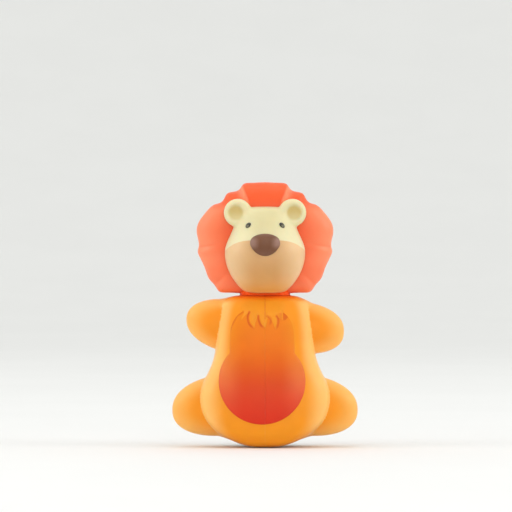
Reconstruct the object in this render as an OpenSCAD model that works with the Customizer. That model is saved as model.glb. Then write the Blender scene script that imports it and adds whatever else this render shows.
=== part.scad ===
// Toothbrush cover shaped as a sitting lion, held to a wall by a suction cup.
// The body is two half shells on upright hinge pins. Each shell carries a liner with a flap that
// reaches behind the brush, so that pushing the brush in closes the shells and pulling it opens them.
// +X is the viewer's right, +Y points into the wall and +Z is up. The origin is the centre of the
// suction cup's face. Heights named _z are measured from the lowest point of the body.

/* [Overall] */
// Height of the whole figure
total_h = 105.8; // [104:0.1:108]
// Distance from the wall to the tip of the nose
total_d = 49.7; // [48:0.1:52]

/* [Body] */
// Width of the torso at the hips
torso_w = 52; // [50:0.5:56]
// Depth of the torso at the belly
torso_d = 32.5; // [31.5:0.5:35]
// Distance from the wall to the back of the torso
torso_gap = 12; // [11.5:0.5:13]
// Wall thickness of the shells
shell_t = 1.8; // [1.4:0.1:2]
// Gap between the two shells at the middle
seam_gap = 0.3; // [0.2:0.1:0.6]

/* [Limbs] */
// Distance between the tips of the arms
arm_span = 63; // [60:0.5:66]
// Distance from the middle to the thickest part of an arm
arm_root = 11; // [10:0.1:12]
// Height of an arm at its thickest part
arm_h = 22.2; // [21:0.1:22.6]
// Thickness of an arm there, from front to back
arm_t = 14; // [12.4:0.2:15]
// Distance from the top of the body down to the middle of the lowered arm, on the viewer's right
arm_drop = 13.8; // [12.5:0.1:15]
// Height of the middle of the raised arm, on the viewer's left, above the lowered one's
arm_lift = 1.8; // [0:0.1:2.4]
// Rise of the raised arm from its thickest part to its tip
raised_arm_rise = 2; // [0:0.1:3]
// Rise of the lowered arm from its thickest part to its tip
lowered_arm_rise = 0; // [-2:0.1:1]
// Distance between the tips of the legs
leg_span = 74.2; // [71:0.2:76]
// Distance from the middle to the thickest part of a leg
leg_root = 14; // [13:0.1:15]
// Height of a leg at its thickest part
leg_h = 25.6; // [24:0.1:26.4]
// Thickness of a leg there, from front to back
leg_t = 16.4; // [15:0.2:17]
// Height of the middle of a leg
leg_z = 17.2; // [16:0.1:18]
// Rise of a leg from its thickest part to its tip
leg_rise = -2.4; // [-3:0.1:0]
// Distance from the wall to the middle plane of the limbs
limb_y = 27.5; // [26:0.5:29]

/* [Belly] */
// Distance from the middle to the patches' middle; they lie a little to the viewer's left
belly_x = -1.2; // [-2:0.1:0]
// Diameter of the round belly patch
belly_d = 34.2; // [30:0.2:36]
// Height of the middle of the belly patch
belly_z = 26.6; // [25:0.1:28]
// Width of the chest patch above it
chest_w = 26.2; // [22:0.2:28]
// Distance from the top of the body down to the top of the chest patch
chest_drop = 4.9; // [4:0.1:7]
// Distance from the top of the body down to the lowest fur tip over the chest patch
fur_drop = 13.5; // [12.5:0.1:14.5]
// Height by which the patches stand proud
relief = 0.35; // [0.2:0.05:0.6]

/* [Brush chamber] */
// Clear width between the liners' side walls
chamber_w = 24; // [22:0.5:25]
// Wall thickness of the liners
liner_t = 1.6; // [1.2:0.1:1.8]
// Outer radius of the chamber's front corners
corner_r = 6; // [5:0.1:6.4]
// Thickness of the flaps behind the brush
flap_t = 1.8; // [1.4:0.1:2]
// Width of the oval mouth that the brush's neck leaves through
neck_mouth_w = 10.8; // [10:0.2:11.6]
// Length of that mouth, from front to back
neck_mouth_l = 13.2; // [12.4:0.2:13.6]
// Distance from the wall to the middle of that mouth
neck_mouth_y = 25.2; // [24.6:0.1:26]

/* [Hinges] */
// Distance between the two hinge pins
hinge_spacing = 18; // [17:0.2:19]
// Distance from the wall to the hinge pins
hinge_y = 16; // [15.8:0.1:16.4]
// Diameter of a hinge pin
pin_d = 3; // [2.6:0.1:3.2]
// Radial clearance of a pin in its bores
pin_fit = 0.05; // [0.03:0.01:0.08]
// Thickness of the frame round a pin
knuckle_wall = 3.1; // [2.8:0.1:3.3]
// Diameter of a liner's hinge barrel
barrel_d = 6.4; // [5.8:0.1:6.8]
// Diameter of a pin's head
pin_head_d = 5; // [4.4:0.1:5.4]
// Thickness of a pin's head
pin_head_h = 1; // [0.8:0.1:1.4]

/* [Gears] */
// Number of teeth that a full gear would have; each liner carries a sector of one
gear_teeth = 18; // [17:1:19]
// Thickness of the gear sectors
gear_t = 3; // [2.4:0.1:3.2]
// Play between the teeth at the pitch circle
backlash = 0.2; // [0.15:0.01:0.3]

/* [Back frame] */
// Distance from the wall to the frame's back plate
plate_gap = 10.2; // [10:0.1:10.6]
// Thickness of the back plate
plate_t = 2; // [1.8:0.1:2.2]
// Width of the back plate
plate_w = 21.6; // [20:0.2:22]
// Thickness of the floor and roof shelves
shelf_t = 3; // [2.4:0.1:3.2]
// Height of the underside of the floor shelf
floor_z = 5; // [4.6:0.1:5.4]
// Distance from the top of the body down to the top of the roof shelf
roof_drop = 4.5; // [4.2:0.1:5]
// Clearance in front of the shelves
shelf_clearance = 2; // [1:0.1:2.2]
// Width of the frame's vents
vent_w = 8; // [6:0.5:10]
// Height of a vent
vent_h = 1.8; // [1.4:0.1:2.2]
// Distance from one vent to the next
vent_pitch = 4; // [3.6:0.1:5]
// Margin of the roof shelf round the neck post
tongue_margin = 1.6; // [1.2:0.1:2]
// Diameter of the neck post that carries the head
post_d = 8.4; // [7.6:0.2:9]
// Height of the neck post above the roof shelf
post_h = 8.6; // [8:0.1:10]
// Distance from the wall to the neck post
post_y = 27; // [26.5:0.1:27.5]
// Gap between parts that pass or seat on each other
gap = 0.3; // [0.2:0.05:0.35]

/* [Suction cup] */
// Height of the suction cup's middle
cup_z = 37; // [36:0.5:38]
// Diameter of the suction cup
cup_d = 38; // [34:0.5:42]
// Width of the flat lip that meets the wall
lip_w = 2.6; // [2:0.1:3.5]
// Height of the cup's shoulder above the wall
cup_h = 6.6; // [6.2:0.1:6.8]
// Diameter of the cup's stem
stem_d = 5.8; // [5.2:0.1:6.2]
// Diameter of the button on the stem
button_d = 9; // [8.4:0.1:9.6]
// Thickness of the button
button_h = 1.8; // [1.4:0.1:2]
// Distance that the cover slides down to lock on the stem
lock_travel = 10; // [9.6:0.1:11]
// Thickness of the wall that the cup's button locks behind
lock_wall = 1.6; // [1.4:0.1:1.8]

/* [Head] */
// Height of the neck, between the body and the mane
neck_h = 0.7; // [0.6:0.1:1.2]
// Width of the mane
mane_w = 54.6; // [52:0.2:58]
// Height of the mane
mane_h = 44.6; // [44.2:0.1:45]
// Distance from the wall to the mane's flat front
mane_front_y = 34.8; // [34.4:0.1:35.2]
// Distance from the wall to the plane where the mane and the back of the head meet
head_split_y = 21.5; // [21:0.1:21.8]
// Diameter of the back of the head
head_back_d = 41; // [38:0.5:42]
// Depth of the back of the head
head_back_t = 9; // [8:0.5:10]
// Diameter of the neck collar under the mane
collar_d = 19.6; // [18:0.2:20]

/* [Face] */
// Width of the face across the cheeks
face_w = 32; // [30:0.2:34]
// Height of the face
face_h = 34.4; // [33:0.1:34.8]
// Diameter of an ear
ear_d = 10.2; // [9:0.1:11]
// Distance between the middles of the ears
ear_spacing = 23.2; // [22:0.1:24.5]
// Thickness of an ear
ear_t = 4.6; // [4:0.1:5.5]
// Depth of the hollow in an ear
ear_dish = 1; // [0.6:0.1:1.4]
// Margin round the nose and eyes in the face's pockets
pocket_fit = 0.1; // [0.05:0.05:0.15]
// Width of the nose
nose_w = 12; // [10:0.1:13]
// Height of the nose
nose_h = 8.8; // [7.5:0.1:9.5]
// Thickness of the nose
nose_t = 5; // [4.4:0.1:6]
// Distance between the eyes
eye_spacing = 13.4; // [12:0.1:14]
// Length of an eye
eye_l = 2.9; // [2.5:0.1:3.4]
// Width of an eye
eye_w = 1.9; // [1.5:0.1:2.1]

/* [Screws] */
// Diameter of the small screws' shanks
screw_d = 2.2; // [2:0.1:2.6]
// Diameter of the small screws' heads
screw_head_d = 4.2; // [3.8:0.1:4.6]
// Height of the small screws' heads
screw_head_h = 1; // [0.8:0.1:1.4]
// Length of the small screws' shanks
screw_l = 5; // [4:0.1:5.2]
// Distance from the chamber's ends to its screws
screw_inset = 8; // [7:0.5:9]
// Clearance between a screw and its hole
screw_fit = 0.2; // [0.1:0.05:0.3]
// Diameter of the bosses that the small screws go into
boss_d = 5.6; // [5:0.1:6.4]
// Diameter of the head screw's shank
head_screw_d = 2.8; // [2.4:0.1:3.2]
// Length of the head screw's shank
head_screw_l = 17; // [15.5:0.1:18]
// Diameter of the head screw's head
head_screw_head_d = 5.4; // [4.8:0.1:6]
// Height of the head screw's head
head_screw_head_h = 1.8; // [1.4:0.1:2.2]

/* [Hidden] */

// Colours
orange = [1.0, 0.60, 0.16];
salmon = [1.0, 0.42, 0.26];
cream = [0.95, 0.90, 0.74];
brown = [0.47, 0.29, 0.24];
eye_grey = [0.25, 0.24, 0.22];
white = [0.94, 0.94, 0.92];
steel = [0.75, 0.76, 0.78];
clear = [0.85, 0.90, 0.92];

// Facets of a full round, and sizes for cuts: the overshoot past a face, and more than the whole part
fine = 96;
eps = 0.01;
over = 1;
big = 200;

// Rows of the torso: height, half width, front and back, each as a share of the whole
torso_rows = [
    [0.000, 0.173, 0.754, 0.554],
    [0.013, 0.327, 0.825, 0.338],
    [0.033, 0.462, 0.871, 0.200],
    [0.060, 0.600, 0.908, 0.108],
    [0.093, 0.727, 0.942, 0.055],
    [0.136, 0.835, 0.966, 0.025],
    [0.215, 0.954, 0.994, 0.000],
    [0.298, 1.000, 1.000, 0.000],
    [0.380, 0.985, 0.991, 0.000],
    [0.463, 0.919, 0.966, 0.000],
    [0.545, 0.831, 0.932, 0.000],
    [0.628, 0.785, 0.898, 0.000],
    [0.727, 0.754, 0.868, 0.000],
    [0.826, 0.727, 0.840, 0.000],
    [0.893, 0.696, 0.815, 0.012],
    [0.939, 0.655, 0.782, 0.043],
    [0.972, 0.575, 0.732, 0.098],
    [0.992, 0.485, 0.677, 0.169],
    [1.000, 0.396, 0.634, 0.231]
];
torso_fullness = 2.8;
torso_steps = 36;
limb_fullness = 2.2;
limb_bluntness = 2.4;

// Angles of a limb's sections, from inside the torso to the tip
limb_sections = [-15, 10, 28, 44, 58, 70, 80, 87];

// Tips of the locks of fur, the notches beside them, and how far each lock's two edges bow out:
// x from the middle, and height over the lowest tip, as shares of the chest patch's width
fur_tips = [[-0.355, 0.141], [-0.156, 0.019], [0.008, 0.023], [0.156, 0], [0.279, 0.141]];
fur_notches = [
    [-0.328, 0.263], [-0.237, 0.256], [-0.107, 0.198], [0.046, 0.195], [0.176, 0.202], [0.275, 0.305]
];
fur_bows = [[0.027, -0.011], [0.061, -0.011], [0.023, 0], [-0.015, 0.038], [0.008, 0]];
fur_root = [[0.363, 0.42], [-0.401, 0.42]];

// Rows of the face: height, half width and depth, each as a share of the whole
face_rows = [
    [0.000, 0.360, 0.300],
    [0.018, 0.500, 0.480],
    [0.062, 0.620, 0.660],
    [0.149, 0.775, 0.850],
    [0.259, 0.906, 0.960],
    [0.390, 0.988, 1.000],
    [0.477, 1.000, 0.985],
    [0.555, 0.969, 0.925],
    [0.660, 0.875, 0.790],
    [0.767, 0.775, 0.640],
    [0.855, 0.690, 0.540],
    [0.930, 0.600, 0.450],
    [0.980, 0.480, 0.340],
    [1.000, 0.365, 0.230]
];
face_fullness = 2.3;
face_steps = 24;

// Outline of the mane on the viewer's right, from the top middle round to the bottom middle: x and
// height over the head's middle, as shares of half the width and half the height
mane_rim = [
    [0.000, 1.000], [0.200, 0.995], [0.320, 0.975], [0.380, 0.865], [0.550, 0.790], [0.605, 0.685],
    [0.645, 0.632], [0.730, 0.605], [0.865, 0.475], [0.945, 0.340], [0.996, 0.205], [1.000, 0.075],
    [0.963, -0.175], [0.982, -0.225], [0.960, -0.340], [0.875, -0.570], [0.810, -0.755],
    [0.740, -0.850], [0.675, -0.960], [0.540, -0.985], [0.360, -0.995], [0.000, -1.000]
];
// Angles of its sections, from the back over the rim to the front
mane_back_sections = [0, 25, 50, 72];
mane_front_sections = [90, 74, 58, 42, 26, 0];
rim_y = (head_split_y + mane_front_y) / 2;
hub_d = 0.81 * face_w;
body_h = total_h - mane_h - neck_h;
head_up = mane_h / 2 + neck_h;
collar_h = head_up - head_back_d / 2 - 2 * gap;

function share(rows, column, at) = lookup(at, [for (row = rows) [row[0], row[column]]]);

// Heights that follow the top of the body
lowered_arm_z = body_h - arm_drop;
raised_arm_z = lowered_arm_z + arm_lift;
chest_top_z = body_h - chest_drop;
fur_z = body_h - fur_drop;

// Distance from the wall to the front of the torso at a height
function chest_y(z) = torso_gap + torso_d * share(torso_rows, 2, z / body_h);

// Hinges and frame, for the viewer's right side
hinge_x = hinge_spacing / 2;
roof_z = body_h - roof_drop;
liner_z = floor_z + shelf_t + gap;
liner_top_z = roof_z - shelf_t - gap;
knuckle_r = pin_d / 2 + knuckle_wall;
shelf_front_y = hinge_y + knuckle_r;
plate_front_y = plate_gap + plate_t;

// The shield is the curved part of a liner that turns about the pin, just outside the plate's corner
plate_corner_r = norm([plate_w / 2 - hinge_x, hinge_y - plate_gap]);
shield_r = plate_corner_r + gap;
shield_outer_r = shield_r + liner_t;
shield_from = -58;
shield_to = 38;
flap_angle = -32;
window_r = shield_outer_r + gap;

// Gears: the teeth are involutes of a base circle, and a sector ends at two angles from +X
pitch_r = hinge_x;
base_r = pitch_r * cos(20);
tip_r = pitch_r * (1 + 2 / gear_teeth);
root_r = pitch_r * (1 - 2.5 / gear_teeth);
tooth_half_angle = 90 / gear_teeth - backlash / (4 * pitch_r) * 180 / PI + tan(20) * 180 / PI - 20;
gear_z = liner_top_z - gear_t;
sector_from = 122;
sector_to = 198;
gear_window_w = 2 * (hinge_x + (hinge_y - plate_front_y) / tan(sector_from)) + 4 * gap;

// Chamber
side_x = chamber_w / 2;
front_y = chest_y(gear_z) - shell_t - 4 * gap;
turn_r = corner_r - liner_t;
turn_x = side_x - turn_r;
turn_y = front_y - liner_t - turn_r;
side_from_y = hinge_y + 0.63 * shield_outer_r;
// The flap behind the brush ends short of the middle by what its corner swings across it
flap_y = hinge_y - barrel_d / 2 + flap_t;
flap_reach = (barrel_d / 2) * (barrel_d / 2) / (2 * hinge_x) + gap;
screw_y = limb_y;
screw_heights = [liner_z + screw_inset, gear_z - screw_inset];

// Head
head_z = body_h + head_up;
face_bottom_z = head_z - mane_h / 2 + gap;
face_back_y = mane_front_y + gap / 2;
nose_y = total_d - nose_t / 2;
face_d = (nose_y - face_back_y) / 0.93;
post_top_z = roof_z + post_h;
ear_z = face_bottom_z + 0.95 * face_h;
eye_z = face_bottom_z + 0.78 * face_h;
nose_z = face_bottom_z + 0.555 * face_h;

// A ring of points on a rounded section, with exponent n: 2 is an ellipse and more is squarer
function ring(half_w, half_d, n, steps) = [
    for (i = [0 : steps - 1])
        let (c = cos(360 * i / steps), s = sin(360 * i / steps))
        [half_w * sign(c) * pow(abs(c), 2 / n), half_d * sign(s) * pow(abs(s), 2 / n)]
];

// The front half of such a ring
function front_ring(half_w, half_d, n, steps) = [
    for (i = [0 : steps])
        let (c = -cos(180 * i / steps), s = sin(180 * i / steps))
        [half_w * sign(c) * pow(abs(c), 2 / n), -half_d * pow(abs(s), 2 / n)]
];

// Closed solid through rings of equal length, from the lowest to the highest
module loft(rings) {
    n = len(rings[0]);
    last = len(rings) - 1;
    polyhedron(
        points = [for (r = rings) each r],
        faces = concat(
            [[for (i = [0 : n - 1]) i]],
            [for (k = [0 : last - 1]) for (i = [0 : n - 1])
                each let (j = (i + 1) % n, a = k * n, b = (k + 1) * n)
                    [[a + j, a + i, b + i], [a + j, b + i, b + j]]],
            [[for (i = [n - 1 : -1 : 0]) last * n + i]]
        )
    );
}

// Places what is modelled from the body's lowest point in the frame of the suction cup
module seated() {
    translate([0, 0, -cup_z]) children();
}

module on_left() {
    mirror([1, 0, 0]) children();
}

// Extrudes an outline drawn in x and z from one distance off the wall to another
module toward_front(from_y, to_y) {
    translate([0, -from_y, 0]) rotate([90, 0, 0]) linear_extrude(to_y - from_y) children();
}

// The oval mouth for the brush's neck, seen from above, grown by a margin
module neck_mouth_outline(margin, steps = fine) {
    r = neck_mouth_w / 2 + margin;
    straight = neck_mouth_l - neck_mouth_w;
    translate([0, -neck_mouth_y]) {
        for (end = [-1, 1])
            translate([0, end * straight / 2]) circle(r = r, $fn = steps);
        translate([-r, -straight / 2]) square([2 * r, straight]);
    }
}

// Torso, drawn in by an inset all round. A coarser one passes over some of the rows.
module torso(inset, steps = torso_steps, pass = 1) {
    loft([
        for (i = [0 : pass : len(torso_rows) - 1])
            let (
                row = torso_rows[i],
                z = inset + row[0] * (body_h - 2 * inset),
                front = torso_gap + torso_d * row[2] - inset,
                back = torso_gap + torso_d * row[3] + inset
            )
            [for (p = ring(torso_w / 2 * row[1] - inset, (front - back) / 2, torso_fullness, steps))
                [p[0], p[1] - (front + back) / 2, z]]
    ]);
}

// One limb of the viewer's right side: an oval body that swells at its root and rounds off at its tip
module limb(root, span, height, thickness, z, rise, inset, steps) {
    reach = span / 2 - root - inset;
    half_t = thickness / 2 - inset;
    half_h = height / 2 - inset;
    loft([
        for (a = limb_sections)
            let (
                out = sign(a) * pow(abs(sin(a)), 2 / limb_bluntness),
                size = pow(cos(a), 2 / limb_bluntness)
            )
            [for (p = ring(half_t * size, half_h * size, limb_fullness, steps))
                [root + reach * out, p[0] - limb_y, z + rise * out + p[1]]]
    ]);
}

module limbs(arm_z, arm_rise, inset, steps) {
    limb(arm_root, arm_span, arm_h, arm_t, arm_z, arm_rise, inset, steps);
    limb(leg_root, leg_span, leg_h, leg_t, leg_z, leg_rise, inset, steps);
}

// Points from one end of a lock's edge to just before the other, bowed sideways at the middle
function bowed(from, to, by) =
    let (side = [to[1] - from[1], from[0] - to[0]] / norm(to - from))
    [for (t = [0, 0.25, 0.5, 0.75]) from + t * (to - from) + 4 * by * t * (1 - t) * side];

// The locks of fur that hang over the chest patch
module fur_outline() {
    translate([0, fur_z]) scale(chest_w) polygon(concat(
        [for (i = [0 : len(fur_tips) - 1])
            each concat(
                bowed(fur_notches[i], fur_tips[i], fur_bows[i][0]),
                bowed(fur_tips[i], fur_notches[i + 1], fur_bows[i][1])
            )],
        [fur_notches[len(fur_tips)]],
        fur_root
    ));
}

// Outline of the belly and chest patches
module patch_outline() {
    chest_r = chest_w / 2;
    difference() {
        translate([belly_x, 0]) {
            translate([0, belly_z]) circle(d = belly_d, $fn = 48);
            translate([0, chest_top_z - chest_r]) circle(r = chest_r, $fn = 36);
            translate([-chest_r, belly_z]) square([chest_w, chest_top_z - chest_r - belly_z]);
        }
        fur_outline();
    }
}

module belly_patch(side) {
    intersection() {
        torso(-relief);
        toward_front(limb_y, torso_gap + torso_d + 2 * relief) scale([side, 1]) patch_outline();
    }
}

// Bosses inside the shell that the liner is screwed to
module shell_bosses() {
    for (z = screw_heights)
        translate([side_x + liner_t + gap, -screw_y, z]) rotate([0, 90, 0])
            cylinder(d = boss_d, h = leg_span / 2, $fn = 16);
}

module boss_holes() {
    for (z = screw_heights)
        translate([side_x, -screw_y, z]) rotate([0, 90, 0])
            cylinder(d = screw_d + screw_fit, h = liner_t + screw_l + gap, $fn = 16);
}

// Everything that the frame and the liner need clear of the shell
module shell_cuts() {
    slot_x = post_d / 2 + 4 * gap;
    window_top = liner_top_z + gap;
    // The other half
    translate([seam_gap / 2 - big, -big / 2, -big / 2]) cube(big);
    // The shelves, the plate and the pins
    translate([hinge_x, -hinge_y, -over])
        cylinder(r = shield_r + gap, h = body_h + 2 * over, $fn = 48);
    translate([-over, -shelf_front_y - shelf_clearance, -over])
        cube([hinge_x + over, big, body_h + 2 * over]);
    // The turning shield
    translate([hinge_x, -hinge_y, liner_z - gap])
        cylinder(r = window_r, h = window_top - liner_z + gap, $fn = 48);
    // The neck post
    translate([0, -post_y, roof_z]) cylinder(r = slot_x, h = big, $fn = 36);
    translate([-over, -post_y, roof_z]) cube([slot_x + over, big, big]);
    // The neck of the brush
    translate([0, 0, -over]) linear_extrude(liner_z) neck_mouth_outline(0, 36);
    boss_holes();
}

// Half of the body, drawn on the viewer's right; side is -1 for the one that is mirrored.
// resize() holds the finished moulding at its full height.
module body_half(side, arm_z, arm_rise) {
    resize([0, 0, body_h]) difference() {
        union() {
            difference() {
                union() {
                    torso(0);
                    belly_patch(side);
                    limbs(arm_z, arm_rise, 0, 32);
                }
                torso(shell_t, 24, 2);
                limbs(arm_z, arm_rise, shell_t, 16);
            }
            intersection() {
                shell_bosses();
                union() {
                    torso(shell_t / 2, 24, 2);
                    limbs(arm_z, arm_rise, shell_t / 2, 16);
                }
            }
        }
        shell_cuts();
    }
}

module left_shell() {
    color(orange) seated() on_left() body_half(-1, raised_arm_z, raised_arm_rise);
}

module right_shell() {
    color(orange) seated() body_half(1, lowered_arm_z, lowered_arm_rise);
}

// Part of a disc between two angles that are under 180 degrees apart
module pie(r, from, to) {
    reach = 3 * r;
    intersection() {
        circle(r = r, $fn = fine);
        polygon([
            [0, 0],
            reach * [cos(from), sin(from)],
            reach * [cos((from + to) / 2), sin((from + to) / 2)],
            reach * [cos(to), sin(to)]
        ]);
    }
}

module ring_part(outer_r, wall, from, to) {
    difference() {
        pie(outer_r, from, to);
        circle(r = outer_r - wall, $fn = fine);
    }
}

// The liner's walls, seen from above
module liner_walls() {
    translate([hinge_x, -hinge_y]) {
        circle(d = barrel_d, $fn = fine);
        ring_part(shield_outer_r, liner_t, shield_from, shield_to);
        rotate(flap_angle) translate([0, -liner_t / 2]) square([shield_outer_r - liner_t / 2, liner_t]);
    }
    translate([flap_reach, -flap_y]) square([hinge_x - flap_reach, flap_t]);
    translate([side_x, -turn_y]) square([liner_t, turn_y - side_from_y]);
    translate([turn_x, -turn_y]) ring_part(corner_r, liner_t, -90, 0);
    translate([seam_gap / 2, -front_y]) square([turn_x - seam_gap / 2, liner_t]);
}

// The liner's floor and ceiling, seen from above
module liner_end() {
    back_y = hinge_y + barrel_d / 2 + gap;
    translate([seam_gap / 2, -front_y]) square([turn_x - seam_gap / 2, front_y - back_y]);
    translate([turn_x - eps, -turn_y]) square([corner_r + eps, turn_y - side_from_y]);
    translate([turn_x, -turn_y]) pie(corner_r, -90, 0);
}

// A point on one side of a tooth, where the involute has unrolled by an angle
function flank(roll, side) =
    let (
        t = roll * PI / 180,
        a = side * (tooth_half_angle - roll + atan(t)),
        r = base_r * sqrt(1 + t * t)
    )
    r * [cos(a), sin(a)];

module tooth() {
    foot_r = 0.96 * root_r;
    foot = foot_r * [cos(tooth_half_angle), sin(tooth_half_angle)];
    tip_roll = sqrt(pow(tip_r / base_r, 2) - 1) * 180 / PI;
    polygon(concat(
        [[foot[0], -foot[1]]],
        [for (i = [0 : 6]) flank(tip_roll * i / 6, -1)],
        [for (i = [6 : -1 : 0]) flank(tip_roll * i / 6, 1)],
        [foot]
    ));
}

// A gear sector that meshes with its neighbour across the middle. Opening turns its far end into mesh.
module gear_sector(first, count) {
    circle(d = barrel_d, $fn = fine);
    pie(root_r, sector_from, sector_to);
    for (i = [0 : count - 1])
        rotate(first - i * 360 / gear_teeth) tooth();
}

// The hinged inner half of the viewer's right side
module liner(first_tooth, tooth_count) {
    height = liner_top_z - liner_z;
    wall_top_z = gear_z - gap;
    difference() {
        union() {
            translate([0, 0, liner_z]) linear_extrude(wall_top_z - liner_z) liner_walls();
            translate([0, 0, wall_top_z - liner_t]) linear_extrude(liner_t) liner_end();
            translate([0, 0, liner_z]) linear_extrude(liner_t) liner_end();
            translate([hinge_x, -hinge_y, wall_top_z - gap])
                cylinder(d = barrel_d - gap, h = 3 * gap, $fn = fine);
            translate([hinge_x, -hinge_y, gear_z]) linear_extrude(gear_t)
                gear_sector(first_tooth, tooth_count);
        }
        translate([hinge_x, -hinge_y, liner_z - gap])
            cylinder(r = pin_d / 2 + pin_fit, h = height + 2 * gap, $fn = fine);
        translate([0, 0, liner_z - gap]) linear_extrude(liner_t + 2 * gap) neck_mouth_outline(0);
        for (z = screw_heights)
            translate([side_x - gap, -screw_y, z]) rotate([0, 90, 0])
                cylinder(d = screw_d + screw_fit, h = liner_t + 2 * gap, $fn = fine);
    }
}

module left_liner() {
    color(white) seated() on_left() liner(180 + 180 / gear_teeth, 4);
}

module right_liner() {
    color(white) seated() liner(180, 3);
}

// The cross cut into a screw's head
module cross_recess(head_d, head_h) {
    across = 0.68 * head_d;
    slot = 0.15 * head_d;
    for (a = [0, 90])
        rotate(a) translate([-across / 2, -slot / 2, -over]) cube([across, slot, head_h / 2 + over]);
}

// Two small screws that hold a shell to its liner, driven from inside the chamber
module shell_screws() {
    for (z = screw_heights)
        translate([side_x, -screw_y, z]) rotate([0, 90, 0]) {
            cylinder(d = screw_d, h = liner_t + screw_l, $fn = fine);
            difference() {
                translate([0, 0, -screw_head_h]) cylinder(d = screw_head_d, h = screw_head_h, $fn = fine);
                translate([0, 0, -screw_head_h]) cross_recess(screw_head_d, screw_head_h);
            }
        }
}

module left_shell_screws() {
    color(steel) seated() on_left() shell_screws();
}

module right_shell_screws() {
    color(steel) seated() shell_screws();
}

// A headed pin, dropped in from the roof shelf
module hinge_pin() {
    translate([hinge_x, -hinge_y, floor_z]) cylinder(d = pin_d, h = roof_z - floor_z, $fn = fine);
    translate([hinge_x, -hinge_y, roof_z]) cylinder(d = pin_head_d, h = pin_head_h, $fn = fine);
}

module left_hinge_pin() {
    color(steel) seated() on_left() hinge_pin();
}

module right_hinge_pin() {
    color(steel) seated() hinge_pin();
}

// A shelf's outline, seen from above, with a knuckle round each pin
module shelf_outline() {
    translate([-hinge_x, -shelf_front_y]) square([hinge_spacing, shelf_front_y - plate_gap]);
    for (x = [-hinge_x, hinge_x])
        translate([x, -hinge_y]) circle(r = knuckle_r, $fn = fine);
}

// The tongue that carries the neck post forward of the roof shelf
module tongue_outline() {
    tongue_r = post_d / 2 + tongue_margin;
    translate([0, -post_y]) circle(r = tongue_r, $fn = fine);
    translate([-tongue_r, -post_y]) square([2 * tongue_r, post_y - shelf_front_y + tongue_margin]);
}

module keyhole_outline(r, entry_r) {
    circle(r = r, $fn = fine);
    translate([0, -lock_travel]) circle(r = entry_r, $fn = fine);
    translate([-r, -lock_travel]) square([2 * r, lock_travel]);
}

// The box on the back that the suction cup's button locks into
module lock_box() {
    r = button_d / 2 + 2 * gap + lock_wall;
    toward_front(cup_h + 1.5 * gap, plate_gap + plate_t / 2) keyhole_outline(r, r);
}

module lock_pocket() {
    open_y = cup_h + 1.5 * gap;
    toward_front(open_y - over, open_y + lock_wall + over)
        keyhole_outline(stem_d / 2 + gap / 2, button_d / 2 + gap);
    toward_front(open_y + lock_wall, open_y + lock_wall + button_h + 2 * gap)
        keyhole_outline(button_d / 2 + gap, button_d / 2 + gap);
}

// Slots that let the chamber dry
module vents() {
    lock_below = cup_z - lock_travel - button_d / 2 - vent_pitch;
    lock_above = cup_z + button_d / 2 + vent_pitch;
    for (z = [floor_z + shelf_t + vent_pitch : vent_pitch : gear_z - vent_pitch])
        if (z < lock_below || z > lock_above)
            translate([-vent_w / 2, -plate_front_y - over, z]) cube([vent_w, plate_t + 2 * over, vent_h]);
}

module back_frame() {
    color(white) seated() difference() {
        union() {
            translate([-plate_w / 2, -plate_front_y, floor_z]) cube([plate_w, plate_t, roof_z - floor_z]);
            translate([0, 0, floor_z]) linear_extrude(shelf_t) shelf_outline();
            translate([0, 0, roof_z - shelf_t]) linear_extrude(shelf_t) shelf_outline();
            translate([0, 0, roof_z - shelf_t]) linear_extrude(shelf_t) tongue_outline();
            translate([0, -post_y, roof_z - over]) cylinder(d = post_d, h = post_h + over, $fn = fine);
            translate([0, 0, cup_z]) lock_box();
        }
        for (x = [-hinge_x, hinge_x])
            translate([x, -hinge_y, floor_z - over])
                cylinder(r = pin_d / 2 + pin_fit, h = roof_z - floor_z + 2 * over, $fn = fine);
        translate([0, -post_y, roof_z - shelf_t - over])
            cylinder(d = head_screw_d + screw_fit, h = shelf_t + post_h + 2 * over, $fn = fine);
        translate([0, 0, cup_z]) lock_pocket();
        // The notch for the brush's neck
        translate([0, 0, floor_z - over]) linear_extrude(shelf_t + 2 * over) neck_mouth_outline(gap);
        // The window that the gear sectors turn through
        translate([-gear_window_w / 2, -plate_front_y - over, gear_z - gap])
            cube([gear_window_w, plate_t + 2 * over, gear_t + 2 * gap]);
        vents();
    }
}

// Soft cup with a flat lip, a hollow face, and a stem that ends in a button
module suction_cup() {
    lip_r = cup_d / 2;
    stem_r = stem_d / 2;
    button_y = cup_h + 2 * gap + lock_wall;
    color(clear) rotate([90, 0, 0]) rotate_extrude($fn = fine) polygon([
        [0, 0.33 * cup_h],
        [lip_r - lip_w, 0],
        [lip_r, 0],
        [lip_r, 0.12 * cup_h],
        [0.82 * lip_r, 0.36 * cup_h],
        [0.55 * lip_r, 0.72 * cup_h],
        [0.33 * lip_r, 0.92 * cup_h],
        [1.35 * stem_r, cup_h],
        [stem_r, cup_h],
        [stem_r, button_y],
        [button_d / 2, button_y],
        [button_d / 2, button_y + 0.4 * button_h],
        [0.36 * button_d, button_y + button_h],
        [0, button_y + button_h]
    ]);
}

module head_screw() {
    under_z = roof_z - shelf_t;
    color(steel) seated() translate([0, -post_y, 0]) {
        translate([0, 0, under_z]) cylinder(d = head_screw_d, h = head_screw_l, $fn = fine);
        translate([0, 0, under_z - head_screw_head_h]) difference() {
            cylinder(d = head_screw_head_d, h = head_screw_head_h, $fn = fine);
            cross_recess(head_screw_head_d, head_screw_head_h);
        }
    }
}

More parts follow.
